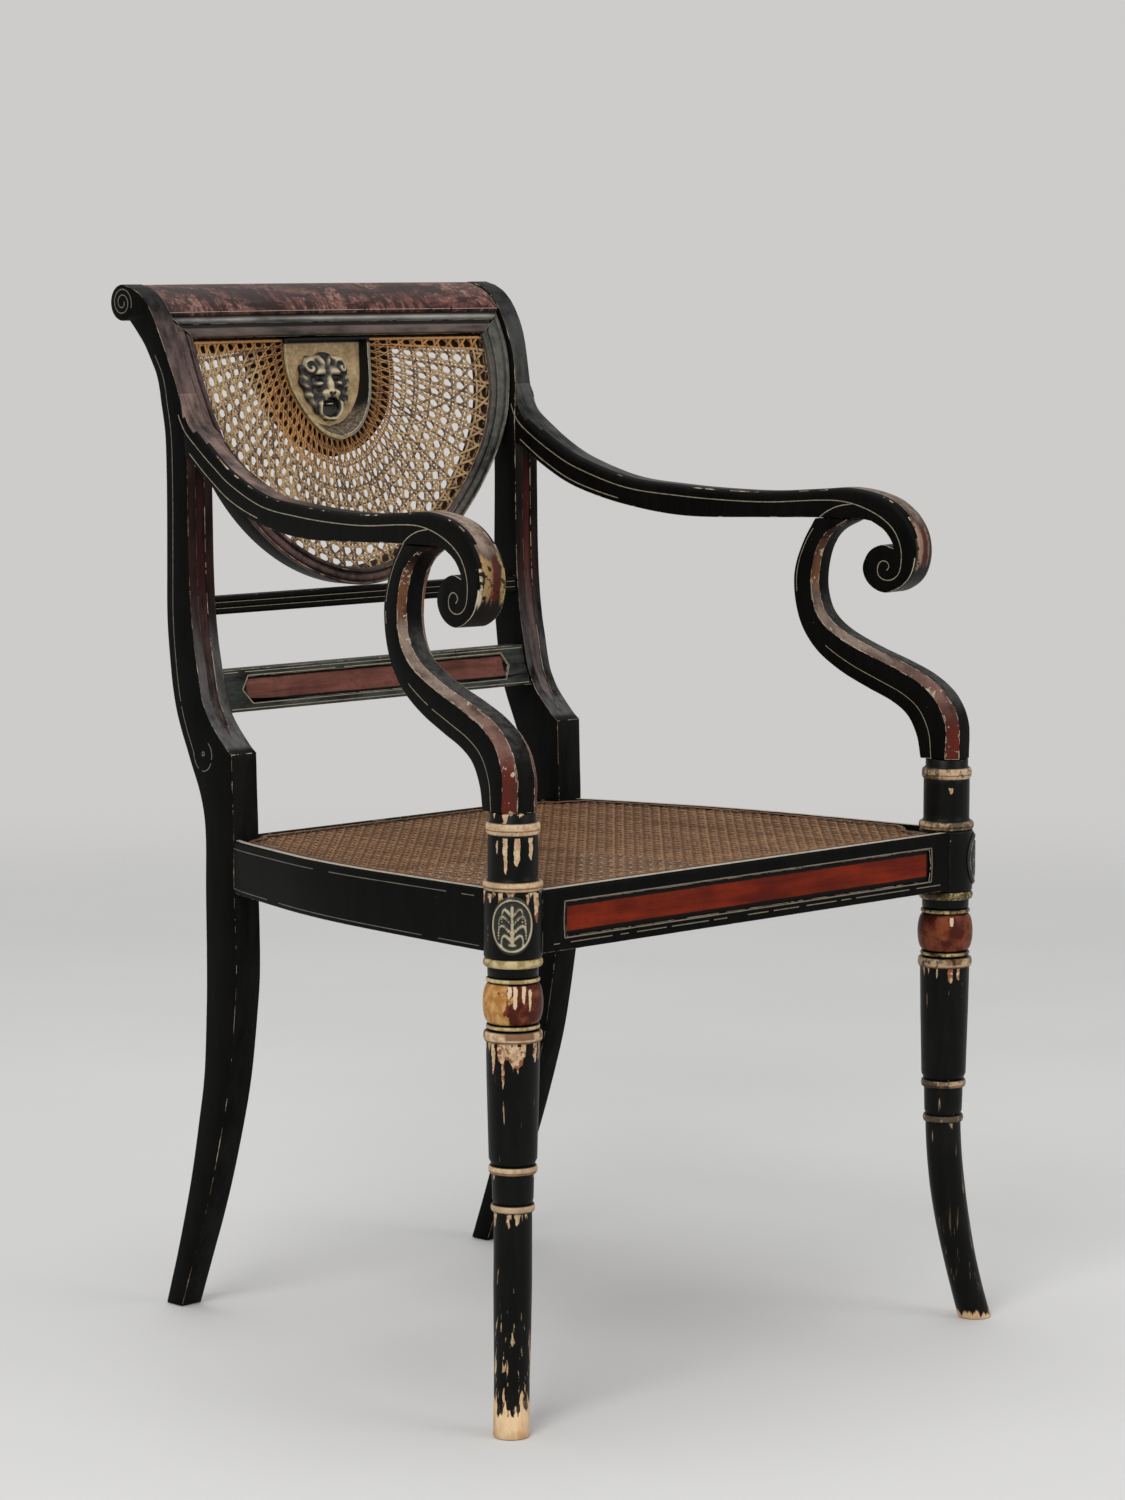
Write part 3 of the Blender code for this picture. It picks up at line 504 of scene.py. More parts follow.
# a flat line of gilding on a face: its path, the face's normal at each point or for all of it,
# its width and the share that is worn away
def lineStrip(verts, faces, path, normal, width, loss):
    low, high = -0.3, 0.14
    start = None
    for i, p in enumerate(path):
        p = Vector(p)
        ahead = Vector(path[min(i + 1, len(path) - 1)]) - Vector(path[max(i - 1, 0)])
        up = Vector(normal[i] if isinstance(normal, list) else normal).normalized()
        side = ahead.cross(up).normalized()
        wide = width * (0.42 + 0.16 * noise.noise(p * 0.35))
        keep = noise.noise(p * 0.11 + Vector((3.1, 0, 0))) > 2.4 * loss - 0.9
        if keep:
            base = len(verts)
            for w, h in ((-wide, low), (wide, low), (wide, high), (-wide, high)):
                verts.append(tuple(p + side * w + up * h))
            if start is None:
                start = base
                faces.append((base, base + 1, base + 2, base + 3))
            else:
                faces += stripSides(base - 4)
        if start is not None and (not keep or i == len(path) - 1):
            last = len(verts) - 4
            if last == start:
                del verts[start:], faces[-1]
            else:
                faces.append((last + 3, last + 2, last + 1, last))
            start = None


def layLines(name, strips, paint):
    verts, faces = [], []
    for strip in strips:
        lineStrip(verts, faces, *strip)
    dress(makeMesh(name, verts, faces, [paint]), [], 0, 60)


# rear posts: side profile as (depth, height) pairs, front edge and back edge
post = dict(inner=172.3, outer=199.3, footIn=166.5, footOut=187.5, footTop=360.0, flareOut=7.0, flareIn=14.0,
            outRise=(755, 827), inRise=(718, 802), scroll=(290.0, 842.0, 14.92), stripWide=9.0, stripDeep=1.2,
            stripFrom=488.0, stripTo=712.0, lineInset=8.0, lineFrom=474.0, lineTo=800.0)
postFront = [(247, 0), (229, 44), (214, 80), (200, 118), (186, 162), (174.5, 205), (165.5, 259),
             (161, 300), (161, 366), (161, 412), (162, 440), (163, 476), (171, 482), (188, 499),
             (196, 511), (201, 523), (206.3, 548), (209.6, 564), (213, 590), (215.2, 626), (216.2, 679),
             (217, 715), (219.2, 737), (224, 761), (227.2, 773), (232, 789), (236.8, 803),
             (241.2, 814), (246, 824), (251.9, 834)]
postBack = [(267, 0), (251, 44), (239, 80), (227.5, 118), (216.5, 162), (207, 205), (201.5, 259),
            (199, 300), (197, 366), (197, 412), (203, 440), (215, 466), (220, 477), (227, 492),
            (233, 508), (237.5, 527), (240.5, 548), (243, 571), (244, 594), (243.5, 632), (243, 680),
            (243.5, 720), (245, 740), (249, 760), (250, 771), (252, 784), (257, 796), (263, 808),
            (272, 819), (282, 829)]
scrollLead = [(257.4, 841), (266, 848.5), (277, 854)]
backLine = postFront[11:] + scrollLead


def frontAt(z):
    return valueAt(backLine, z)


def postOut(z):
    if z < post["footTop"]:
        return lerp(post["footOut"], post["outer"], z / post["footTop"])
    return post["outer"] + post["flareOut"] * ease(*post["outRise"], z)


def postIn(z):
    if z < post["footTop"]:
        return lerp(post["footIn"], post["inner"], z / post["footTop"])
    return post["inner"] + post["flareIn"] * ease(*post["inRise"], z)


def scrollArc(start, end, count, radius):
    return [around(post["scroll"], radius, math.radians(a)) for a in spread(start, end, count)]


def rearPost(name, node, side):
    front, rear = [spline(edge[:12], 4) + spline(edge[11:], 4)[1:] for edge in (postFront, postBack)]
    low, high = post["stripFrom"], post["stripTo"]
    rings, strip = [], []
    for (yf, zf), (yb, zb) in zip(front, rear):
        a, b = postIn(zf), postOut(zf)
        mid = (a + b) / 2
        half = post["stripWide"] / 2 * max(0.06, ease(low - 2, low + 16, zf))
        strip.append(low + 0.5 < zf < high + 0.5)
        deep = post["stripDeep"] if strip[-1] else 0.0
        row = [(a, yf, zf), (mid - half, yf, zf), (mid - half, yf + deep, zf), (mid + half, yf + deep, zf),
               (mid + half, yf, zf), (b, yf, zf), (postOut(zb), yb, zb), (postIn(zb), yb, zb)]
        rings.append([(side * x, y, z) for x, y, z in row])
    count = len(rings[0])

    def slotOf(i, j):
        if j > 4:
            return 0
        return 1 if j == 2 and strip[i] and strip[i + 1] else 2

    faces, slots = loftFaces(len(rings), count, slotOf)
    faces.pop()   # the head goes on here
    slots.pop()
    verts = [p for r in rings for p in r]
    top = (len(rings) - 1) * count
    head = scrollLead[:1] + even(spline(scrollLead, 4), 9)[1:] + scrollArc(95, -124, 49, post["scroll"][2])
    base = len(verts)
    for y, z in head:
        verts += [(side * postIn(z), y, z), (side * postOut(max(z, 829)), y, z)]
    inner = [top] + [base + 2 * i for i in range(len(head))] + [top + 7]
    outer = [top + 5] + [base + 2 * i + 1 for i in range(len(head))] + [top + 6]
    # the first strip above the shaft picks up the shaft's extra points
    faces.append((inner[0], top + 1, top + 2, top + 3, top + 4, outer[0], outer[1], inner[1]))
    for i in range(1, len(inner) - 1):
        faces.append((inner[i], outer[i], outer[i + 1], inner[i + 1]))
    faces += [tuple(inner), tuple(reversed(outer))]
    faceStrips = 22   # strips of the head that carry the front's paint
    slots += [2] * faceStrips + [0] * (len(inner) + 1 - faceStrips)
    dress(makeMesh(name, verts, faces, [black, redStrips[side], postFaceSheen], slots), [node], 0.55)


def postLines(side):
    # one line near the back edge of the outer face that curls round a dot at its foot, and a spiral on the scroll
    path = [(y - post["lineInset"], z) for y, z in even(spline(postBack[11:], 6), 170)
            if post["lineFrom"] < z < post["lineTo"]]
    footY, footZ = path[0]
    curl = []
    for turn, r in zip(spread(0, 235, 40), spread(13, 9.0, 40)):
        a = math.radians(turn)
        curl.append((footY - 13 + r * math.cos(a), footZ - r * math.sin(a) * 1.25))
    eye = [around((footY - 12, footZ), 1.5, 0.4 * i) for i in range(18)]
    turns = zip(spread(200, -560, 110), spread(12.4, 2.6, 110))
    spiral = [around(post["scroll"], r, math.radians(a)) for a, r in turns]
    out = []
    for line, wide, loss in ((even(curl[::-1] + path, 260), 1.0, 0.12), (eye, 1.3, 0.0)):
        out.append(([(side * (postOut(z) + proud), y, z) for y, z in line], (side, 0, 0), wide, loss))
    x = side * (post["outer"] + post["flareOut"] + proud)
    return out + [([(x, y, z) for y, z in spiral], (side, 0, 0), 1.1, 0.1)]


makePair(rearPost, "rearPost", "rear_post_")
layLines("postLines", postLines(-1) + postLines(1), faintLine)
print("rear posts made")


# front legs: turned profile from the top down, bent out below the lowest rings
leg = dict(x=247.5, y=-220.0, block=22.0, sabre=172.0, kick=(20.5, -19.5), bend=1.8, steps=72, rise=4.0)


# a ring or a ball, from its middle height, radius, height and the radius of the neck beside it
def turned(z, radius, tall, neck, count=9, full=0.7):
    turns = [math.pi * (0.5 - i / (count - 1)) for i in range(count)]
    return [(neck + (radius - neck) * math.cos(a) ** full, z + tall / 2 * math.sin(a)) for a in turns]


def taper(points):
    out = []
    for a, b in zip(points, points[1:]):
        n = max(1, round(abs(a[1] - b[1]) / leg["rise"]))
        out += [between(a, b, i / n) for i in range(n)]
    return out + [points[-1]]


# (radius, height) from the top to the sole
legProfile = [(16.8, 470), (17.5, 469.3), (17.5, 464)] + turned(458, 20.6, 9, 18.6)
legProfile += taper([(19, 452.5), (19, 420.5)]) + turned(415, 22.8, 7, 20.2)
legProfile += [(21.4, 411.2), (22, 410.6)] + taper([(22, 409), (22, 363)]) + [(22, 361.6), (21.4, 361)]
legProfile += turned(357, 22.6, 7, 19.3) + taper([(19.3, 352.5), (19.2, 347)]) + turned(343.7, 20.4, 4, 17.8)
legProfile += turned(326, 22.8, 31, 17.3, 19, 0.85) + turned(308.2, 20.4, 4, 18.2)
legProfile += turned(301, 22.4, 8, 20.4) + taper([(20.4, 296.4), (19.8, 262), (18.4, 207)])
legProfile += turned(199, 18.6, 7, 16.2) + taper([(16.1, 195), (15.6, 176)]) + turned(169.5, 16.8, 6.5, 14.6)
legProfile += taper([(14.6, 165.5), (14.6, 140), (14.7, 110), (14.3, 80), (13.7, 52), (13.5, 26), (13.7, 1.0)])
legProfile += [(13.0, 0.0)]


# gilt rings, dark lines and the ball as (from, to, soft edge); drips below the rings as (top, reach, cut)
legMarks = dict(
    rings=((453.8, 462.4, 0.6), (411.9, 418.4, 0.5), (353.9, 360.3, 0.5), (342.6, 345.2, 0.5), (307.0, 309.4, 0.5),
           (297.4, 304.8, 0.5), (196.6, 201.6, 0.5), (167.4, 171.8, 0.5)),
    lines=((413.6, 415.0, 0.4), (456.6, 457.6, 0.4), (296.6, 298.6, 0.4), (197.0, 198.2, 0.3)),
    drips=((471.0, 9, 0.52), (410.5, 14, 0.50), (297.0, 20, 0.49), (165.5, 18, 0.57), (194.5, 12, 0.60)),
    ball=(311.0, 341.2, 0.8))


def legPaint(name, side, worn, ballEdge, footHigh, runs, ballRuns):
    # zones by height: gilt rings, red and gold ball, drips under the rings, bare foot
    paint, _, place = startPaint(name)
    z = place.axis(2)
    # across the leg, from left to right as the camera sees it
    across = (place.axis(0) - side * leg["x"]) * 0.715 - (place.axis(1) + middleDepth - leg["y"]) * 0.699
    cloud = place.noise(28, 4, 0.6)
    flake = place.noise(200, 4, 0.65)
    drip = place.stretched((1, 1, 0.12)).noise(165, 3, 0.5)
    fine = place.stretched((1, 1, 0.07)).noise(330, 3, 0.5)
    patch = place.stretched((1, 1, 0.6)).noise(60, 3, 0.5)
    blotch = place.noise(120, 3, 0.6)

    def runMask(spots):
        drops = []
        for spot, half, top, reach in spots:
            d = across - spot + (drip - 0.5) * 4.0 + (flake - 0.5) * 3.0
            fall = (top - z) / reach
            fall = fall * fall
            drop = ((1 - fall * fall) * (half * half) - d * d).over(-0.2, 0.3)
            drops.append(drop * (1 - z.over(top - 0.4, top + 0.4)))
        return topOf(drops)

    colour = (cloud * 0.5 + drip * 0.5).over(0.4, 0.7).mix(soot, (0.0050, 0.0045, 0.0040))
    cream = flake.over(0.35, 0.65).mix((0.42, 0.27, 0.145), (0.66, 0.495, 0.315))
    rust = blotch.over(0.4, 0.6).mix((0.10, 0.026, 0.012), (0.26, 0.090, 0.036))
    # scratches, and drips that run down from the rings and thin out
    bare = fine.over(0.60, 0.63) * z.band(30, 88, 14) * worn
    bare = bare.top(fine.over(0.70, 0.72) * z.band(100, 292, 8) * 0.7)
    bare = bare.top((flake * 0.7 + drip * 0.3).over(0.66, 0.69) * z.band(365, 410, 3)) * 0.8
    for top, reach, cut in legMarks["drips"]:
        fall = (top - z) / reach
        keep = (drip - fall * 0.16).past(cut + 0.16 * (1 - worn), 0.025)
        bare = bare.top(keep * z.band(top - reach * 1.5, top + 1, 0.8) * (1 - flake.over(0.58, 0.66) * 0.8))
    bare = bare.top(runMask(runs) * (1 - flake.over(0.62, 0.68) * 0.6))
    foot = 1 - (z + (drip - 0.5) * (14 + 40 * worn) + (fine - 0.5) * 26 * worn).over(footHigh, footHigh + 3)
    tan = (cloud * 0.6 + drip * 0.4).over(0.38, 0.66).mix((0.54, 0.325, 0.155), (0.82, 0.59, 0.35))
    drips = (blotch.over(0.50, 0.58) * z.over(200, 260) * (1 - z.over(412, 420) * 0.8)).mix(cream, rust)
    drips = (1 - z.over(40, 60)).mix(drips, tan)
    mask = bare.top(foot)
    colour = mask.mix(colour, drips)
    rings = topOf([z.band(*ring) for ring in legMarks["rings"]])
    loss = (cloud * 0.55 + flake * 0.5).past(0.46 + 0.10 * worn, 0.10)
    gold = blotch.over(0.42, 0.6).mix((0.30, 0.22, 0.09), (0.56, 0.44, 0.23))
    gold = z.band(306, 361, 1).mix(cream, gold)
    line = topOf([z.band(*dark) for dark in legMarks["lines"]] + [z.band(300, 305, 0.6) * patch.over(0.46, 0.56)])
    gold = (line * 0.85).mix(gold, (0.17, 0.066, 0.030))
    colour = (rings * (1 - loss * (0.95 - 0.45 * worn))).mix(colour, gold)
    # the ball: gold left on one side of the red, with a few pale runs
    ball = z.band(*legMarks["ball"])
    left = (ballEdge - across + (patch - 0.5) * 34 + (flake - 0.5) * 6).over(-0.5, 0.5)
    goldTone = blotch.over(0.4, 0.65).mix((0.38, 0.165, 0.042), (0.56, 0.32, 0.115))
    redTone = (cloud * 0.5 + blotch * 0.5).over(0.42, 0.6).mix((0.060, 0.010, 0.005), (0.205, 0.050, 0.019))
    ballColour = runMask(ballRuns).mix(left.mix(redTone, goldTone), (0.66, 0.49, 0.31))
    ballColour = (flake.over(0.60, 0.68) * 0.7).mix(ballColour, (0.040, 0.011, 0.006))
    colour = ball.mix(colour, ballColour)
    return setPaint(paint, {"Specular IOR Level": 0.12}, colour, 0.30 + cloud * 0.18 + mask * 0.25,
                    flake * 0.5 + drip * 0.3 - mask * 0.8, 0.25)


def frontLeg(name, node, side):
    rings = []
    for r, z in legProfile:
        bend = max(0.0, (leg["sabre"] - z) / leg["sabre"]) ** leg["bend"]
        rings.append([(side * (leg["x"] + r * math.cos(a) + leg["kick"][0] * bend),
                       leg["y"] + r * math.sin(a) + leg["kick"][1] * bend, z) for a in fullTurn(leg["steps"])])
    paint = legPaint(side=side, **legWear[side])
    dress(loft(name, rings, [paint]), [node], 0, 50)


# drips as (across, half width, top, reach)
legWear = {
    -1: dict(name="legPaintWorn", worn=1.0, ballEdge=-4.0, footHigh=25.0, runs=[
        (-5.0, 1.6, 452.0, 27), (3.2, 2.1, 452.0, 21), (13.0, 1.6, 452.0, 17), (-11.5, 0.9, 450.0, 10),
        (17.8, 1.2, 410.0, 22), (11.0, 1.3, 410.0, 8), (-9.0, 1.4, 410.0, 7), (-17.5, 1.5, 410.0, 7),
        (-8.5, 3.4, 297.0, 15), (-7.6, 1.3, 292.0, 29), (-15.0, 1.2, 297.0, 24), (3.0, 6.0, 295.0, 16),
        (16.5, 1.5, 297.0, 15), (-3.0, 1.1, 165.5, 10), (3.5, 1.0, 165.5, 8)],
        ballRuns=[(1.5, 1.6, 340.5, 17), (8.5, 1.5, 340.5, 13), (-2.5, 1.0, 340.5, 9), (13.5, 0.9, 338.0, 16)]),
    1: dict(name="legPaint", worn=0.2, ballEdge=-40.0, footHigh=3.0, runs=[
        (2.0, 1.3, 447.0, 5), (3.0, 2.4, 297.0, 12), (9.5, 0.9, 297.0, 10), (-8.0, 0.8, 297.0, 8)],
        ballRuns=[(4.0, 1.8, 339.5, 7)])}
makePair(frontLeg, "frontLeg", "front_leg_")
print("front legs made")


# oval palmettes on the legs' round blocks
palmette = dict(halfWide=16.5, halfHigh=22.0, middle=387.0, turn=-45.0, rows=46, sectors=128)
# drooping leaves either side of a stem, from (foot, reach, rise) to short runs of points in the oval's own units
leaves = [[(0.05 + reach * math.sin(t * 1.75) ** 0.9, foot + rise * math.sin(math.pi * t) - 0.20 * t * t)
           for t in spread(0, 1, 13)]
          for foot, reach, rise in ((0.34, 0.40, 0.26), (0.06, 0.54, 0.30), (-0.24, 0.56, 0.28), (-0.50, 0.42, 0.20))]


def palmetteHeight(r, a):
    u, v = r * math.cos(a), r * math.sin(a)
    band = math.exp(-((r - 0.88) / 0.050) ** 2)
    stem = math.exp(-(u / 0.085) ** 2) * ease(-0.72, -0.60, v) * (1 - ease(0.62, 0.74, v))
    leaf = 0.0
    for run in leaves:
        near = min((math.hypot(abs(u) - x, (v - y) * 1.15), i) for i, (x, y) in enumerate(run))
        leaf = max(leaf, math.exp(-(near[0] / (0.088 - 0.003 * near[1])) ** 2))
    foot = math.exp(-((v + 0.66) / 0.07) ** 2 - (u / 0.22) ** 2)
    return 0.4 + 0.4 * ease(1.0, 0.95, r) + 1.2 * band + max(1.3 * stem, 1.1 * leaf, 1.0 * foot)


# a carved front with a flat back, as (radius, turn, height) points and their faces
def reliefSheets(rows, sectors, height):
    turns = fullTurn(sectors)
    front = [(0.0, 0.0, height(0.0, 0.0))]
    front += [(k / rows, a, height(k / rows, a)) for k in range(1, rows + 1) for a in turns]
    faces = []
    for s in range(sectors):
        t = (s + 1) % sectors
        faces.append((0, 1 + s, 1 + t))
        for k in range(rows - 1):
            a, b = 1 + k * sectors, 1 + (k + 1) * sectors
            faces.append((a + s, b + s, b + t, a + t))
    rim = 1 + (rows - 1) * sectors
    base = len(front)
    for s in range(sectors):
        t = (s + 1) % sectors
        faces.append((rim + s, base + s, base + t, rim + t))
    faces.append(tuple(range(base, base + sectors)))
    return front + [(1.0, a, 0.0) for a in turns], faces


# dark in the hollows, gilt on the crowns
def carvedGilt(name, light, dark, low, high, bumpy=0.3):
    paint, wire, place = startPaint(name)
    relief = wire.mark("relief")
    cloud = place.noise(90, 4, 0.6)
    flake = place.noise(420, 4, 0.65)
    shine = (relief + (cloud - 0.5) * 0.8 + (flake - 0.5) * 0.35).over(low, high)
    colour = shine.mix(dark, light)
    colour = (flake.over(0.64, 0.74) * 0.7).mix(colour, dim(dark, 0.4))
    return setPaint(paint, {"Metallic": 0.1}, colour, 0.36 + cloud * 0.25, flake + cloud, bumpy)


palmetteGilts = {-1: carvedGilt("palmetteGiltWorn", (0.44, 0.38, 0.23), (0.007, 0.006, 0.005), 0.34, 0.66),
                 1: carvedGilt("palmetteGilt", (0.20, 0.19, 0.16), (0.006, 0.005, 0.005), 0.40, 0.75)}


def palmettePiece(name, node, side):
    p = palmette
    sheet, faces = reliefSheets(p["rows"], p["sectors"], palmetteHeight)
    radius = leg["block"] + joint
    verts = []
    for r, a, lift in sheet:
        turn = math.radians(p["turn"]) + r * math.cos(a) * p["halfWide"] / radius
        reach = radius + lift
        verts.append((side * (leg["x"] + reach * math.cos(turn)), leg["y"] + reach * math.sin(turn),
                      p["middle"] + r * math.sin(a) * p["halfHigh"]))
    piece = makeMesh(name, verts, faces, [palmetteGilts[side]], merge=False)
    markPoints(piece, "relief", [unit((lift - 0.6) / 2.0) for _, _, lift in sheet])
    dress(piece, [node], 0, 60)


makePair(palmettePiece, "palmette", "patera_")
print("palmettes carved")


# arms and supports, in an upright plane splayed outwards to the front
arm = dict(wide=25.5, splay=0.144, swell=4.0, chamfer=5.7, flare=0.30, length=420.0, rounding=1.0, lineInset=9.0,
           untwist=(60, 200), meet=(165, 222), fillStep=9.0, calmPost=9.0, calmNeck=(-146, -82, 668))


def splayed(side, y, z, across):
    norm = math.hypot(1.0, arm["splay"])
    twist = 1.0 - ease(*arm["untwist"], y)
    run = unit((y - leg["y"]) / arm["length"])
    x = leg["x"] - (y - leg["y"]) * arm["splay"] + arm["swell"] * math.sin(math.pi * run)
    # by the post the arm takes on the post's width
    near = ease(*arm["meet"], y)
    if across > 0:
        across *= 1.0 + arm["flare"] * near
    elif near > 0:
        across *= lerp(1.0, min(1.0, max(0.12, (x - postIn(z)) / (arm["wide"] / 2))), near)
    return (side * (x + across / norm), y + twist * across * arm["splay"] / norm, z)


armTop = [(225.8, 769), (214, 748), (196, 733.5), (173, 718.5), (147, 705.5), (99, 691), (46, 686),
          (0, 684), (-46, 684), (-90, 687), (-128, 689.5), (-162, 683.5), (-183, 671), (-195, 653),
          (-196, 633), (-187, 615), (-167, 604.5), (-150, 609.5), (-142, 623), (-148, 637.5),
          (-161, 644), (-172.5, 641.5)]
armUnder = [(-172, 645), (-165.5, 654), (-154.5, 661), (-142, 664.2), (-98, 664), (-43, 662), (39, 660),
            (102, 667.5), (153, 681), (186, 698), (213, 717)]


def armFinish(name, worn, middle, tail, stops):
    # the top: by the post the tail colour, brown-grey on the left arm and on the right arm grey, a painted reflection
    # of the sky;
    # black in the middle, rubbed over the roll, with streaks that run down the roll's front
    paint, wire, place = startPaint(name)
    y, z = place.axis(1) + middleDepth, place.axis(2)
    cloud = place.noise(30, 4, 0.6)
    flake = place.noise(180, 4, 0.65)
    streak = place.stretched((1, 0.10, 0.10)).noise(190, 4, 0.6)
    tint = y.over(20, 130).mix((0.008, 0.007, 0.006), tail)
    colour = (cloud * 0.6 + streak * 0.4).over(0.34, 0.66).mix(soot, tint)
    top = (1 - y.over(-140, -60)) * z.over(650, 672)
    brown = (streak * 0.6 + flake * 0.4).over(0.36, 0.62).mix((0.060, 0.036, 0.026), (0.27, 0.195, 0.150))
    colour = (top * worn).mix(colour, brown)
    roll = (1 - y.over(-180, -168)) * (z + (streak - 0.5) * 26).band(627, 660, 3)
    run = (middle - place.axis(0)) / arm["wide"] + 0.5 + (streak - 0.5) * 0.5 + (flake - 0.5) * 0.3
    front = wire.make("ValToRGB", {"stops": stops}, {0: run})
    colour = roll.mix(colour, (flake * 0.7 + cloud * 0.3).over(0.53, 0.57).mix(front, (0.012, 0.008, 0.006)))
    # cream where the paint is rubbed through on the crowns; on the left arm it stays strong near the post as an almost
    # unbroken pale line, wear and painted highlight both
    worth = 1 - y.over(30, 170) * (0.15 if worn > 0.9 else 0.75)
    rubbed = (flake * 0.5 + cloud * 0.5 + worth * 0.28 * worn).over(0.55, 0.62)
    rubbed = wire.crowns(0.2) * rubbed
    colour = rubbed.mix(colour, (0.60, 0.52, 0.40))
    return setPaint(paint, {"Specular IOR Level": 0.12}, colour, 0.36 + cloud * 0.2, flake + streak * 0.5, 0.2)


def fillOutline(points, step):
    # triangles across a flat outline, with points inside it so that a bent face stays smooth
    count = len(points)
    low = [min(p[k] for p in points) for k in (0, 1)]
    high = [max(p[k] for p in points) for k in (0, 1)]
    inner = []
    for i in range(int((high[0] - low[0]) / step) + 1):
        for j in range(int((high[1] - low[1]) / step) + 1):
            y, z = low[0] + (i + 0.5) * step, low[1] + (j + 0.5) * step
            inside, near = False, 1e9
            for (ay, az), (by, bz) in zip(points, points[1:] + points[:1]):
                near = min(near, math.hypot(y - ay, z - az))
                if (az > z) != (bz > z) and y < ay + (z - az) / (bz - az) * (by - ay):
                    inside = not inside
            if inside and near > step * 0.4:
                inner.append((y, z))
    flat = [Vector(p) for p in points + inner]
    _, _, faces, origin, _, _ = geometry.delaunay_2d_cdt(flat, [], [list(range(count))], 1, 1e-6)
    return inner, [tuple(origin[k][0] for k in f) for f in faces]


def armPiece(name, node, side):
    top = even(spline(armTop, 8), 180)
    end = [(frontAt(z) - joint, z) for z in (717, 726, 737, 748, 761)]
    outline = top + even(spline(armUnder, 8), 70) + end
    count = len(outline)
    half, lean = arm["wide"] / 2, arm["chamfer"]
    inset = []
    for i, ((y, z), (ny, nz)) in enumerate(zip(outline, leftNormals(outline, True))):
        along = i / (len(top) - 1)
        fade = ease(0.0, 0.05, along) * (1.0 - ease(0.72, 0.86, along)) if i < len(top) else 0.0
        inset.append((y + lean * fade * ny, z + lean * fade * nz))
    levels = [(-half, 1.0), (-half + lean * 0.18, 0.52), (-half + lean * 0.55, 0.14), (-half + lean, 0.0)]
    levels += [(-a, f) for a, f in reversed(levels)]
    verts = []
    for across, f in levels:
        verts += [splayed(side, *between(o, n, f), across) for o, n in zip(outline, inset)]

    def slotOf(i, j):
        # the rubbed top; its shoulders stay black and run out towards the post and into the roll
        reach = 3 - sum(j > k for k in (5, 10, 15)) + sum(j > k for k in (131, 137, 142))
        return 1 if j < len(top) - 1 and abs(i - 3) <= reach else 0

    faces, slots = loftFaces(len(levels), count, slotOf, caps=False)
    inner, fill = fillOutline(inset, arm["fillStep"])
    for across, ring in ((-half, 0), (half, (len(levels) - 1) * count)):
        base = len(verts)
        verts += [splayed(side, y, z, across) for y, z in inner]
        faces += [tuple(ring + k if k < count else base + k - count for k in f) for f in fill]
        slots += [0] * len(fill)
    piece = makeMesh(name, verts, faces, [black, armTops[side]], slots)
    dress(piece, [node], arm["rounding"])
    near, far, high = arm["calmNeck"]   # where the support runs into the arm
    calm(piece, lambda y, z: y > frontAt(z) - arm["calmPost"] or (z < high and near < y < far))


def armLines(side):
    # a line below the top edge that passes inside the roll's neck and winds into its eye,
    # an arch over the support and a short line by the post
    top = offsetLine(even(spline(armTop, 8), 240), arm["lineInset"])
    main = [p for p in top[6:150] if p[0] > -95]
    main += [(-111, 678.9), (-122, 678.3), (-134, 676.4), (-148, 672.2), (-161.5, 666), (-172.5, 657.5), (-179, 646.5),
             (-181.2, 635.5), (-179.6, 623), (-174, 616.6), (-166.7, 614.8), (-160, 617), (-157.4, 622), (-158.6, 628),
             (-162.5, 630.8), (-167, 629.8), (-169, 626), (-166.5, 623)]
    arch = [(-97.5, 663.4), (-106, 669.4), (-117.5, 674.2), (-131, 676.6)]
    short = [p for p in offsetLine(even(spline(armUnder, 8), 130), 4.0) if p[0] > 105]
    out = []
    for face in (-1, 1):
        across = face * (arm["wide"] / 2 + proud)
        for path, count, loss in ((spline(main, 3), 300, 0.0), (spline(arch, 6), 30, 0.0), (short, 60, 0.15)):
            points = [splayed(side, y, z, across) for y, z in even(path, count)]
            out.append((points, (side * face, face * arm["splay"], 0), 0.85, loss))
    return out


# spread and chamfer are what the foot has over the arm
support = dict(spread=7.0, chamfer=2.8, rounding=0.7, foot=(475, 575), calmFrom=657)
supportBack = [(-204, 470.3), (-200, 488), (-190, 504.5), (-174, 515), (-151, 524), (-123, 536),
               (-99, 551), (-84, 568), (-76, 587), (-73, 608), (-75, 625), (-83, 645), (-94, 663.2)]
supportFront = [(-236.5, 470.3), (-236, 500), (-225, 522), (-205, 537), (-178.5, 548), (-149, 558),
                (-120, 570.5), (-103, 584), (-96, 601), (-95.5, 619), (-100.5, 639), (-111, 653), (-131, 663.2)]


# rows up the support: rear edge, front edge, shoulder of the chamfer, half width, chamfer
def supportRows(perSpan):
    rows = []
    for rear, front in zip(spline(supportBack, perSpan), spline(supportFront, perSpan)):
        foot = 1.0 - ease(*support["foot"], (rear[1] + front[1]) / 2)
        half = (arm["wide"] + support["spread"] * foot) / 2
        lean = arm["chamfer"] + support["chamfer"] * foot
        rows.append((rear, front, between(front, rear, lean / math.dist(rear, front)), half, lean))
    return rows


def supportPiece(name, node, side):
    rings = []
    for rear, front, shoulder, half, lean in supportRows(8):
        rings.append([splayed(side, *p, across) for p, across in (
            (rear, -half), (rear, half), (shoulder, half), (front, half - lean), (front, lean - half),
            (shoulder, -half))])
    piece = loft(name, rings, [blackWorn, chamferRed, supportFaceSheen], lambda i, j: {2: 1, 4: 1, 3: 2}.get(j, 0))
    dress(piece, [node], support["rounding"])
    calm(piece, lambda y, z: z > support["calmFrom"])


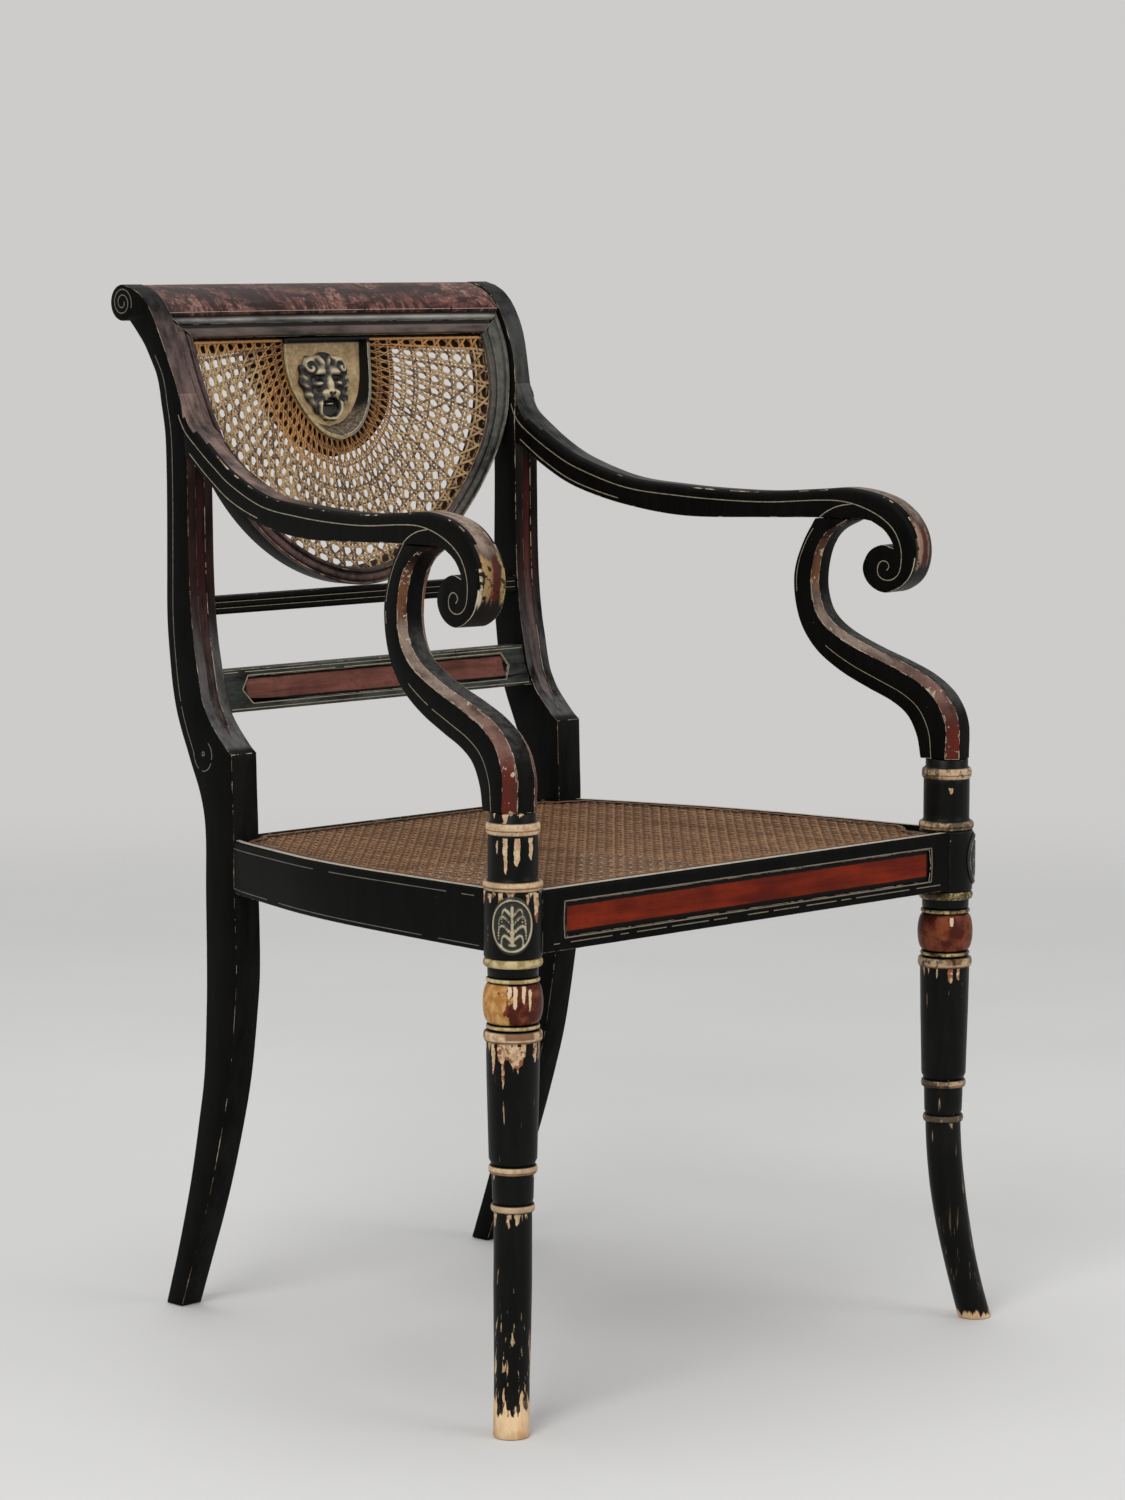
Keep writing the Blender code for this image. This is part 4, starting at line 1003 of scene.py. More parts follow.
def supportLines(side):
    # broken gilt along both edges of each chamfer, a fine line by the rear edge above and along the middle below
    out = []
    rows = supportRows(10)
    for face in (-1, 1):
        slope = [(side * face * 0.7, *(0.7 * (f - r) / math.dist(rear, front) for f, r in zip(front, rear)))
                 for rear, front, *_ in rows]
        for t, wide, loss in ((0.10, 0.8, 0.40), (0.90, 0.7, 0.48)):
            path = [splayed(side, *between(shoulder, front, t), face * (half - t * lean))
                    for _, front, shoulder, half, lean in rows]
            out.append((path, slope, wide, loss))
        for low, high, inset in ((598, 700, 0.13), (400, 552, 0.33)):
            path = [splayed(side, *between(rear, front, inset), face * (half + proud))
                    for rear, front, _, half, _ in rows if low < rear[1] < high]
            out.append((path, (side * face, face * arm["splay"], 0), 0.6, 0.15))
    return out


# streaks across the roll's front, from its right edge to its left as the photo shows it
armTops = {-1: armFinish("armTopWorn", 1.0, -244.0, (0.235, 0.150, 0.126), [
    (0.0, (0.30, 0.205, 0.075)), (0.20, (0.38, 0.27, 0.10)), (0.30, (0.05, 0.009, 0.006)),
    (0.54, (0.075, 0.011, 0.007)), (0.64, (0.24, 0.135, 0.055)), (0.86, (0.36, 0.23, 0.095)),
    (0.93, (0.12, 0.060, 0.030)), (1.0, (0.50, 0.40, 0.27))])}
# the right arm: grey on its top by the post, a painted reflection of the sky
armTops[1] = armFinish("armTopRubbedAndSheen", 0.7, 244.0, (0.080, 0.082, 0.075), [
    (0.0, (0.010, 0.008, 0.007)), (0.20, (0.04, 0.016, 0.011)), (0.28, (0.20, 0.13, 0.09)),
    (0.36, (0.055, 0.012, 0.008)), (0.56, (0.075, 0.018, 0.011)), (0.66, (0.26, 0.155, 0.105)),
    (0.84, (0.32, 0.21, 0.14)), (0.95, (0.03, 0.02, 0.014))])
makePair(armPiece, "arm", "arm_")
makePair(supportPiece, "armSupport", "arm_support_")
layLines("armLines", armLines(-1) + armLines(1), goldLine)
layLines("supportLines", supportLines(-1) + supportLines(1), goldLine)
print("arms and supports made")


# back: everything follows the hollow between the posts
back = dict(hollow=23.5, crestLow=812.0, bandTop=831.0, openHalf=163.5, openTurn=795.0, openLow=616.0,
            bowDepth=27.0, caneDepth=8.4, rimDepth=4.0, fieldHigh=13.0, fieldLow=18.0, fieldFrom=735.0, fieldRise=70.0,
            dish=13.2, dishFall=(830, 765), hollowFrom=600, hollowRise=195)


def hollow(x, z):
    rise = unit((z - back["hollowFrom"]) / back["hollowRise"])
    return back["hollow"] * rise * (1.0 - (x / (post["inner"] + post["flareIn"])) ** 2)


def onBack(x, z, depth):
    return (x, frontAt(z) + hollow(x, z) + depth, z)


def dish(z):
    # the caned middle falls behind the bow below the crest
    return back["dish"] * ease(*back["dishFall"], z)


def dished(x, z, depth):
    return onBack(x, z, depth + dish(z))


def fieldDepth(z):
    return lerp(back["fieldLow"], back["fieldHigh"], (z - back["fieldFrom"]) / back["fieldRise"])


def bead(z, mid, radius):
    d = abs(z - mid) / radius
    return math.sqrt(max(0.0, 1.0 - d * d)) * radius


crest = dict(beads=((817.0, 4.4), (827.0, 3.4)), flat=0.75, sunk=5.0, rings=61)   # beads as (height, radius)


def crestSection():
    front = []
    for z in spread(back["crestLow"] + 0.2, back["bandTop"], 44):
        front.append((frontAt(z) + crest["sunk"] - sum(bead(z, *b) * crest["flat"] for b in crest["beads"]), z))
    band = len(front)
    front += even(spline([(frontAt(834) + 1.2, 834), (258.4, 841), (267.4, 848), (278, 853.4)], 6), 14)
    rolled = scrollArc(94, -122, 44, post["scroll"][2] - 0.5)
    return front + rolled + [(272, 820.5), (262.5, back["crestLow"] + 0.2)], band


def crestRail():
    section, band = crestSection()
    low, high = back["crestLow"], back["bandTop"]
    reach = post["inner"] + post["flareIn"] - joint
    rings = []
    for t in spread(-1, 1, crest["rings"]):
        ring = []
        for y, z in section:
            end = lerp(back["openHalf"], reach, min(1.0, (z - low) / (high - low)))
            ring.append((t * end, y + hollow(t * end, max(z, back["openTurn"])), z))
        rings.append(ring)
    piece = loft("crestRail", rings, [rosewood, crestBeadWithHighlight, black],
                 lambda i, j: 1 if j < band - 1 else (2 if j > band + 40 else 0))
    dress(piece, ["crest_rail"], 0.5, 42)


# beads across the bow as (from, to, floor, crown), in shares of its width and in depth
bow = dict(power=1.85, wideTop=23.0, wideLow=14.4, groove=3.4, grooveDeep=0.28, shoulder=6.4,
           beads=((0.02, 0.30, 5.6, 2.5), (0.35, 0.78, 5.9, 3.1), (0.82, 0.99, 5.8, 3.4)), beadSteps=10,
           rings=141)


def bowPairs(count):
    # inner and outer edge, from the left mitre round to the right one
    power, drop = bow["power"], back["openTurn"] - back["openLow"]
    ends = ((back["crestLow"] - 0.6, back["bandTop"] - 1.0), (808.0, 821.0), (804.0, 812.0), (799.0, 804.0))
    run = [((back["openHalf"], low), (postIn(high) - 2 * joint, high)) for low, high in ends]
    pairs = [((-i[0], i[1]), (-o[0], o[1])) for i, o in run]
    for t in spread(-math.pi / 2, math.pi / 2, count):
        s, c = math.sin(t), max(0.0, math.cos(t))
        x = back["openHalf"] * math.copysign(abs(s) ** (2 / power), s)
        z = back["openTurn"] - drop * c ** (2 / power)
        down = (back["openTurn"] - z) / drop
        nx = math.copysign((abs(x) / back["openHalf"]) ** (power - 1) / back["openHalf"], x)
        nz = -down ** (power - 1) / drop
        size = math.hypot(nx, nz)
        wide = lerp(bow["wideTop"], bow["wideLow"], math.sqrt(down))
        ox, oz = x + nx / size * wide, z + nz / size * wide
        limit = postIn(oz) - 3 * joint
        pairs.append(((x, z), (max(-limit, min(limit, ox)), oz)))
    return pairs + run[::-1]


def bowSection():
    # inner bead, broad bead, fillet, outer bead; then the plain back and the groove for the cane
    near, far = (back["caneDepth"] + s * bow["groove"] / 2 for s in (-1, 1))
    face = [(0.0, near)]
    for low, high, floor, crown in bow["beads"]:
        for a in spread(0, math.pi, bow["beadSteps"]):
            face.append((lerp(low, high, (1 - math.cos(a)) / 2), floor - (floor - crown) * math.sin(a)))
    wall = [(1.0, bow["shoulder"]), (1.0, back["bowDepth"]), (0.0, back["bowDepth"]), (0.0, far),
            (bow["grooveDeep"], far), (bow["grooveDeep"], near)]
    return face + wall, len(face)


def panelBow():
    section, face = bowSection()
    rings = [[onBack(*between(inner, outer, w), d) for w, d in section] for inner, outer in bowPairs(bow["rings"])]

    def slotOf(i, j):
        # inner bead, the other beads, the outer shoulder, and bare wood behind
        if j < face:
            return 1 if j <= bow["beadSteps"] else 2
        return 3 if j > face else 0

    piece = loft("panelBow", rings, [black, innerBead, beadPaint, rawWood], slotOf)
    dress(piece, ["panel_bow"], 0.35, 42)


crestRail()
panelBow()
print("crest and bow made")


# shield and lion mask; spans as the shares of the outline's width, of its height below the middle and above it
# the last entry is the band of heights close under the crest that is painted black, a painted shadow
shield = dict(middle=772.0, points=60, field=(0.90, 0.76, 0.93), edge=0.942, brink=0.93, grimeAndShade=(805.0, 806.6))
shieldHalf = [(48.5, 811.2), (48.5, 792), (47, 775), (41.5, 758), (31.5, 741.5), (17.5, 729), (0, 723.5)]


def scaled(points, wide, below, above):
    mid = shield["middle"]
    return [(x * wide, mid + (z - mid) * (below if z < mid else above)) for x, z in points]


def shieldOutline(count, scale=1.0):
    right = scaled(even(spline(shieldHalf, 8), count), scale, scale, scale)
    return [(-x, z) for x, z in right] + right[-2::-1]


def shieldField(count, scale):
    # the sunk field: close to the rim at the sides, with a sloping sill above the point
    return scaled(shieldOutline(count, scale), *shield["field"])


def shieldPaint(name, light, dark, right=None, sill=None):
    paint, wire, place = startPaint(name)
    cloud = place.noise(60, 4, 0.6)
    flake = place.noise(330, 4, 0.65)
    colour = (cloud * 0.55 + flake * 0.45).over(0.36, 0.66).mix(dark, light)
    if right:
        colour = (place.axis(0) + (cloud - 0.5) * 16).over(4, 16).mix(colour, right)
    if sill:
        low = 1 - (place.axis(2) + (cloud - 0.5) * 14).over(742, 756)
        colour = low.mix(colour, flake.over(0.4, 0.6).mix(dim(sill, 0.3), sill))
    rubbed = wire.crowns(0.2) * (flake * 0.6 + cloud * 0.4).over(0.40, 0.48)
    colour = rubbed.mix(colour, (0.46, 0.38, 0.23))
    # painted shadow close under the crest: the shield goes black across its top
    colour = place.axis(2).over(*shield["grimeAndShade"]).mix(colour, (0.003, 0.0026, 0.0022))
    fixed = {"Metallic": 0.1, "Specular IOR Level": 0.2}
    return setPaint(paint, fixed, colour, 0.46 + cloud * 0.2, flake + cloud, 0.25)


def shieldTablet():
    rim, deep, flange = back["rimDepth"], back["fieldLow"] + 2.0, back["caneDepth"] - 2.0
    count, edge = shield["points"], shield["edge"]
    levels = [(0.06, deep), (0.5, deep), (edge, deep), (edge, flange), (1.0, flange), (1.0, rim + 1.4),
              (0.985, rim), (shield["brink"], rim)]
    rings = [[dished(x, z, d) for x, z in shieldOutline(count, s)] for s, d in levels]
    # walls of the niche
    brink, foot = shieldOutline(count, shield["brink"]), shieldField(count, 1.0)
    for t in spread(0, 1, 7)[1:]:
        rings.append([dished(*between(a, b, t), lerp(rim, fieldDepth(b[1]), t)) for a, b in zip(brink, foot)])
    for s in (0.96, 0.75, 0.5, 0.25, 0.06):
        rings.append([dished(x, z, fieldDepth(z)) for x, z in shieldField(count, s)])
    field = shieldPaint("shieldBronze", (0.57, 0.405, 0.215), (0.28, 0.192, 0.094))
    # the niche's wall: black on its right side, painted shade, and a mottled brown sill low down
    wall = shieldPaint("shieldWallWithShade", (0.20, 0.165, 0.09), (0.09, 0.07, 0.04),
                       (0.004, 0.0035, 0.003), (0.17, 0.125, 0.085))
    rimPaint = shieldPaint("shieldRim", (0.42, 0.345, 0.18), (0.16, 0.11, 0.055), (0.155, 0.150, 0.135))
    flank = shieldPaint("shieldFlank", (0.13, 0.060, 0.030), (0.045, 0.018, 0.010))
    piece = loft("shieldTablet", rings, [field, flank, rimPaint, wall],
                 lambda i, j: 1 if i < 5 else (2 if i < 7 else (3 if i < 13 else 0)))
    dress(piece, ["shield_tablet"], 0.4, 40)


# sections as (share of the width, depth) and (height, depth); strips as (name, from, to, depth behind the others)
hub = dict(points=40, inner=0.90, span=(1.70, 1.30, 0.99), follow=0.25,
           section=((0.0, 19.5), (0.5, 19.5), (0.97, 19.5), (1.0, 20.2), (1.0, 24.5), (0.5, 25.0), (0.0, 25.0)),
           strips=(("Left", -165, -50, 0.0), ("Middle", -54, 54, 9.0), ("Right", 50, 165, 0.0)), stripRings=21,
           stripSection=((799.5, 13.5), (811.9, 12.2), (811.9, 19.0), (799.5, 19.5)))


def hubBoard():
    # the wider block behind the cane that holds the inner ends of its strands, with dark strips under the crest that
    # stand in for the shade there
    inner = shieldOutline(hub["points"], hub["inner"])
    outer = scaled(shieldOutline(hub["points"]), *hub["span"])
    rings = [[onBack(*between(i, o, t), d + dish(i[1]) * (1 - hub["follow"] * t)) for t, d in hub["section"]]
             for i, o in zip(inner, outer)]
    dress(loft("hubBoard", rings, [rawWood]), ["shield_tablet"], 0, 40)
    for word, start, end, push in hub["strips"]:
        rings = [[onBack(x, z, d + push + dish(z) * (1 - abs(x) / 170)) for z, d in hub["stripSection"]]
                 for x in spread(start, end, hub["stripRings"])]
        dress(loft("crestRebate" + word, rings, [rawWood]), ["crest_rail"], 0, 40)


lion = dict(middle=768.3, halfWide=26.0, halfHigh=28.5, sunk=0.9, curl=(17.5, 17.5), jaws=(10.2, 8.6, -16.8),
            rows=92, sectors=220)


def hump(x, z, cx, cz, wx, wz, turn):
    c, s = math.cos(turn), math.sin(turn)
    dx, dz = x - cx, z - cz
    return math.exp(-((c * dx + s * dz) / wx) ** 2 - ((c * dz - s * dx) / wz) ** 2)


# broad at the curls, narrow at the chin, with a wavy edge
def lionSpread(r, a):
    wave = 1.0 + 0.045 * math.cos(13 * a + 5) * r
    c, s = math.cos(a), math.sin(a)
    broad = math.copysign(abs(c) ** (0.75 if s > 0 else 1.0), c) * (1.0 + 0.26 * s)
    return lion["halfWide"] * r * wave * broad, lion["halfHigh"] * r * wave * s


# forms of the face: across, up, half width, half height, lean, lift, gilding
lionForms = [
    (3.8, 22.5, 1.8, 4.2, -0.55, 2.6, 0.42), (14.0, 25.0, 7.0, 1.9, -0.20, 1.8, 0.52),   # forelocks
    (5.5, 17.6, 4.0, 1.6, 0.15, 1.0, 0.22),
    (23.6, 8.5, 3.6, 2.0, 0.75, 2.8, 0.24), (23.2, 1.4, 3.4, 1.9, 0.45, 2.8, 0.26),      # side locks
    (21.0, -6.0, 3.4, 2.1, 0.25, 2.6, 0.26), (17.6, -13.5, 3.8, 3.6, -0.1, 2.4, 0.20),
    (8.6, 13.2, 5.6, 2.5, -0.22, 3.8, 0.85), (0.0, 14.5, 1.3, 3.0, 0.0, -1.8, -0.3),     # brow and frown
    # the eyes are dark sockets, each with a small gilt spot that is a painted glint
    (9.8, 8.4, 4.6, 2.4, 0.1, -4.4, -0.6), (10.0, 8.2, 1.5, 1.0, 0.0, 1.8, 0.42),        # eyes
    (11.2, 3.6, 4.2, 1.7, -0.15, 2.8, 0.48), (10.8, -1.4, 3.8, 1.9, 0.0, -2.4, -0.4),    # cheeks
    (0.0, 3.0, 3.4, 6.2, 0.0, 4.2, 0.85), (0.0, -3.4, 4.0, 1.8, 0.0, 2.2, 0.15),         # nose
    (2.4, -4.6, 1.3, 1.1, 0.0, -2.0, -0.9), (6.6, -4.4, 3.9, 3.0, 0.35, 3.4, 0.70),      # nostrils, muzzle
    (0.0, -7.2, 0.8, 1.8, 0.0, -1.4, -0.5), (0.0, -14.0, 6.4, 1.2, 0.0, 4.6, 0.95),      # lip, tongue
    (6.4, -10.6, 0.9, 1.4, 0.0, 1.6, 0.40)]                                              # fangs


def lionCarving(r, a):
    # height of the face and how much of its gilding is left
    x, z = lionSpread(r, a)
    m = abs(x)
    dome = 2.2 + 7.3 * max(0.0, 1.0 - r * r)
    h, gilt = dome, 0.10
    # a big curl above each brow
    dx, dz = m - lion["curl"][0], z - lion["curl"][1]
    d = math.hypot(dx, dz)
    curl = math.cos(d * 0.85 - math.atan2(dz, dx) + 2.2)
    h += (2.6 + 1.8 * curl) * math.exp(-(d / 7.4) ** 4)
    gilt += 0.40 * curl * math.exp(-(d / 7.0) ** 4)
    for cx, cz, wx, wz, lean, lift, glow in lionForms:
        form = hump(m, z, cx, cz, wx, wz, lean)
        h += lift * form
        gilt += glow * form
    h -= 2.6 * math.exp(-((m - 16.0) / 1.5) ** 2) * (1.0 - ease(7, 12, z)) * ease(-15, -10, z)
    # wide open jaws and the ring of the lower jaw
    wide, high, middle = lion["jaws"]
    mouth = (abs(x / wide) ** 2.4 + abs((z - middle) / high) ** 2.4) ** (1 / 2.4)
    h -= 6.0 * (1.0 - ease(0.78, 0.96, mouth))
    gilt -= 0.25 * (1.0 - ease(0.85, 1.05, mouth))
    jaw = math.exp(-((mouth - 1.17) / 0.13) ** 2) * (1.0 - ease(-14.0, -9.5, z))
    return (0.5 if r > 0.995 else max(0.7, h + 2.7 * jaw)), gilt + 0.06 * (h - dome) + 0.75 * jaw


def lionMask():
    sheet, faces = reliefSheets(lion["rows"], lion["sectors"], lambda r, a: lionCarving(r, a)[0])
    verts = []
    for r, a, lift in sheet:
        x, z = lionSpread(r, a)
        z += lion["middle"]
        verts.append(dished(x, z, fieldDepth(z) - lion["sunk"] - lift))
    bronze = carvedGilt("lionBronze", (0.49, 0.40, 0.25), (0.007, 0.0055, 0.004), 0.16, 0.72, 0.15)
    piece = makeMesh("lionMask", verts, faces, [bronze], merge=False)
    markPoints(piece, "relief", [unit(lionCarving(r, a)[1]) if lift else 0.0 for r, a, lift in sheet])
    dress(piece, ["lion_mask"], 0, 80)


shieldTablet()
hubBoard()
lionMask()
print("shield and lion made")


# caning: flat strands that pass over and under each other
def caneStrand(out, path, up, width, tone, thick=0.55):
    # width and tone may follow the path
    verts, faces, tones = out
    base = len(verts)
    count = len(path)
    up = Vector(up)
    for i in range(count):
        p = Vector(path[i])
        ahead = Vector(path[min(i + 1, count - 1)]) - Vector(path[max(i - 1, 0)])
        side = ahead.cross(up).normalized()
        wide = (width[i] if isinstance(width, list) else width) / 2
        half, crown = thick / 2, wide * 0.72
        for w, h in ((-wide, -half), (wide, -half), (crown, half), (-crown, half)):
            verts.append(tuple(p + side * w + up * h))
        shade = tone[i] if isinstance(tone, list) else tone
        # the lower corners are darker: painted shade along the strand's edges
        tones += [min(1.0, shade + 0.45)] * 2 + [shade] * 2
    last = base + 4 * (count - 1)
    for a in range(base, last, 4):
        faces += stripSides(a)
    faces += [(base + 3, base + 2, base + 1, base), (last, last + 1, last + 2, last + 3)]


def canePaint(name, pale, deep, dark, orange=None, shine=0.3):
    paint, wire, place = startPaint(name)
    # the tone mark holds each strand's own tone together with its painted shade
    tone = wire.mark("tone")
    cloud = place.noise(26, 4, 0.6)
    fibre = place.noise(520, 3, 0.6)
    age = (tone * 0.55 + cloud * 0.45 + (fibre - 0.5) * 0.25)
    colour = age.over(0.28, 0.72).mix(pale, deep)
    if orange:
        # stained round the shield and under the crest
        x, z = place.axis(0) + 8, place.axis(2)
        low = z - shield["middle"]
        near = place.maths("POWER", x * x + low * low, 0.5)
        rust = (1 - near.over(62, 86)).top(z.over(797, 803))
        colour = (rust * 0.85).mix(colour, age.over(0.3, 0.7).mix(orange, dim(orange, 0.45)))
    colour = (fibre * 0.5 + cloud * 0.5).over(0.58, 0.70).mix(colour, dark)
    return setPaint(paint, {"Specular IOR Level": shine}, colour, 0.45 + cloud * 0.25, fibre, 0.25)


def caneMesh(name, out, paint, nodes):
    verts, faces, tones = out
    piece = makeMesh(name, verts, faces, [paint], outward=False)
    markPoints(piece, "tone", tones)
    enter(piece, nodes)


fan = dict(rays=39, rounds=10, strand=2.3, lift=0.42, perCell=6, seed=11, top=809.8, steps=1200, inRim=0.20,
           inShield=0.968, rimPoints=121, bindingHigh=808.6, bindingFrom=50.0, bindingTo=162.0)


def backCane():
    rng = random.Random(fan["seed"])
    steps = fan["steps"]
    rim = [between(inner, outer, fan["inRim"]) for inner, outer in bowPairs(fan["rimPoints"])]
    core = shieldOutline(shield["points"], fan["inShield"])
    rim, core = [even([(x, min(fan["top"], z)) for x, z in edge], steps + 1) for edge in (rim, core)]

    def at(t, u, lift):
        t = unit(t) * steps
        k = min(steps - 1, int(t))
        a, b = (between(edge[k], edge[k + 1], t - k) for edge in (core, rim))
        return onBack(*between(a, b, u), back["caneDepth"] - lift + dish(a[1]) * (1 - u))

    rays, rounds, lift, per = fan["rays"], fan["rounds"], fan["lift"], fan["perCell"]
    out = ([], [], [])
    up = (0.0, -0.97, 0.24)

    def strand(points, wide):
        tone = rng.random()
        # darker where the strand dips under the others: painted shade
        caneStrand(out, [at(*p) for p in points], up, wide, [tone - 0.7 * lift for _, _, lift in points])

    def pitch(u):
        return lerp(5.2, 14.2, u)

    def wander(i, j, size):
        return size * noise.noise(Vector((i * 0.83 + 7.7, j * 0.61 - 3.1, 0.5)))

    # pairs of rays
    for i in range(rays + 1):
        for s in (-1, 1):
            points, wide = [], []
            for u in spread(0, 1, rounds * per + 1):
                broad = lerp(0.8, fan["strand"], ease(0.0, 0.5, u))
                t = (i + s * 0.76 * broad / pitch(u) + wander(i, u * rounds, 0.10)) / rays
                if 0 <= t <= 1:
                    wave = math.sin(math.pi * (2 * u * rounds + i + (s > 0)))
                    points.append((t, u, lift * wave))
                    wide.append(broad)
            if len(points) > 2:
                strand(points, wide)
    # pairs of rounds
    for j in range(rounds + 1):
        for s in (-1, 1):
            points = []
            for k in range(rays * per + 1):
                i = k / per
                u = unit((j + s * 0.145 + wander(i, j, 0.09)) / rounds)
                points.append((i / rays, u, -lift * math.sin(2 * math.pi * i + math.pi * (s > 0))))
            strand(points, lerp(1.3, 2.1, j / rounds))
    # two sets of diagonals that cut the corners of the openings
    for way in (-1, 1):
        for i in range(-rounds - 1, rays + rounds + 1):
            points, wide = [], []
            for u in spread(0, 1, rounds * per + 1):
                t = (i + 0.5 + way * u * rounds + wander(i, u * rounds, 0.10)) / rays
                if 0 <= t <= 1:
                    points.append((t, u, 0.45 * way + 0.3 * math.sin(2 * math.pi * u * rounds)))
                    wide.append(lerp(0.6, 1.9, ease(0.0, 0.5, u)))
            if len(points) > 2:
                strand(points, wide)
    # flat binding along the crest
    high, count = fan["bindingHigh"], 41
    for s in (-1, 1):
        path = [onBack(s * x, high + 0.3 * noise.noise(Vector((x * 0.2, s, 0))),
                       back["caneDepth"] - 1.2 + dish(high) * (1 - (x - 47.0) / 118.0))
                for x in spread(fan["bindingFrom"], fan["bindingTo"], count)]
        caneStrand(out, path, up, [2.4 if i % 4 else 2.0 for i in range(count)], 0.0)
    paint = canePaint("goldenCane", (0.405, 0.262, 0.124), (0.086, 0.043, 0.018), (0.036, 0.018, 0.008),
                      (0.40, 0.185, 0.050))
    caneMesh("backCane", out, paint, ["back_cane"])


backCane()
print("back caned")


# rails between the posts
railSunk = 2.4   # behind the posts' front
reeded = dict(low=586.0, high=600.8, thick=14.0, reeds=3, proud=1.6, full=0.8)


def betweenPosts(low, high, thick, face):
    reach = post["inner"] - joint
    section = face + [(frontAt(high) + thick, high), (frontAt(low) + thick, low)]
    return [[(x, y, z) for y, z in section] for x in spread(-reach, reach, 5)]


def reededRail():
    low, high = reeded["low"], reeded["high"]
    face = []
    for z in spread(low, high, 55):
        reed = abs(math.sin(math.pi * reeded["reeds"] * (z - low) / (high - low))) ** reeded["full"]
        face.append((frontAt(z) + railSunk - reed * reeded["proud"], z))
    piece = loft("reededRail", betweenPosts(low, high, reeded["thick"], face), [black])
    dress(piece, ["reeded_rail"], 0.3, 50)


# the block that cuts a sunk panel with canted ends into a face
def panelCut(name, panel, face):
    low, high, half = panel["panelLow"], panel["panelHigh"], panel["half"]
    levels = [(low, half - panel["cant"]), ((low + high) / 2, half), (high, half - panel["cant"])]
    rings = []
    for dy in (-6.0, panel["depth"]):   # from clear of the face to the panel's floor
        left = [(-h, face(z) + dy, z) for z, h in levels]
        rings.append(left + [(h, face(z) + dy, z) for z, h in reversed(levels)])
    return loft(name, rings, [])


def sink(piece, cutter):
    cut = piece.modifiers.new("panel", "BOOLEAN")
    cut.operation, cut.solver, cut.object = "DIFFERENCE", "EXACT", cutter
    settle(piece)
    bpy.data.objects.remove(cutter, do_unlink=True)


def paintFloor(piece, slot, panel, face):
    for p in piece.data.polygons:
        x, y, z = p.center.x / mm, p.center.y / mm + middleDepth, p.center.z / mm
        inside = abs(x) < panel["half"] and panel["panelLow"] < z < panel["panelHigh"]
        if inside and p.normal.y < -0.5 and y > face(z) + panel["depth"] / 2:
            p.material_index = slot


# an outline round a sunk panel
def panelLines(panel, cant, face):
    gap, steps = 1.2, 60
    low, high, half = panel["panelLow"], panel["panelHigh"], panel["half"]
    end, tip = half - cant + gap * 0.6, half + gap * 1.3
    mid = (low + high) / 2
    corners = [(-end, low - gap), (end, low - gap), (tip, mid), (end, high + gap), (-end, high + gap), (-tip, mid)]
    out = []
    for a, b in zip(corners, corners[1:] + corners[:1]):
        n = max(4, int(steps * math.dist(a, b) / (2 * half)))
        run = [between(a, b, i / n) for i in range(n + 1)]
        out.append([(x, face(z) - proud, z) for x, z in run])
    return out


tablet = dict(low=506.0, high=540.0, thick=17.0, half=151.0, panelLow=513.0, panelHigh=533.5, cant=7.0, depth=2.0)


def tabletFace(z):
    return frontAt(z) + railSunk


def tabletRail():
    low, high = tablet["low"], tablet["high"]
    face = [(tabletFace(z), z) for z in spread(low, high, 11)]
    piece = loft("tabletRail", betweenPosts(low, high, tablet["thick"], face), [tabletBlack, backPanelRed])
    sink(piece, panelCut("tabletCut", tablet, tabletFace))
    paintFloor(piece, 1, tablet, tabletFace)
    dress(piece, ["tablet_rail"], 0.45)


reededRail()
tabletRail()
# straight lines as (height, half length, depth, slope, width, loss)
railStrips = [(path, (0, -0.97, 0.2), 1.0, 0.1) for path in panelLines(tablet, tablet["cant"], tabletFace)]
for z, half, depth, slope, wide, loss in (
        (508.2, 170, 2.36, (0, -0.97, 0.2), 0.8, 0.1), (537.8, 170, 2.36, (0, -0.97, 0.2), 0.8, 0.1),
        (590.9, 171, 2.2, (0, -1, 0), 1.0, 0.05), (595.9, 171, 2.2, (0, -1, 0), 1.0, 0.05)):
    railStrips.append(([(x, frontAt(z) + depth, z) for x in spread(-half, half, 91)], slope, wide, loss))
layLines("backRailLines", railStrips, goldLine)
print("back rails made")


# seat frame
seat = dict(front=410.8, rear=406.0, low=363.0, wide=30.0, frontWide=26.0, edge=3.0, lip=7.0, rebate=4.0,
            frontFace=-237.0, rearFace=181.0, rearWide=29.0, cane=2.0, half=209.0, panelLow=373.5, panelHigh=399.0,
            cant=2.0, depth=2.0, slopeFrom=-205.0, slopeRun=366.0, lineBelow=6.5, lineAbove=3.5, lineFrom=-196,
            lineLow=368.6, lineHalf=221)
sidePlan = [(199.3, 160.7), (207, 141), (222, 88), (236, 32), (245.5, -30), (251.5, -105), (256, -180), (258, -222)]


def seatTop(y):
    return lerp(seat["front"], seat["rear"], unit((y - seat["slopeFrom"]) / seat["slopeRun"]))


def seatFace(z):
    return seat["frontFace"]


def railSection(wide, top):
    bed, e = top - seat["rebate"], seat["edge"]
    curve = [(e * (1 - math.cos(a)), top - e + e * math.sin(a)) for a in (0.0, 0.4, 0.8, 1.2, math.pi / 2)]
    return [(0.0, seat["low"])] + curve + [(seat["lip"], top), (seat["lip"], bed), (wide, bed), (wide, seat["low"])]


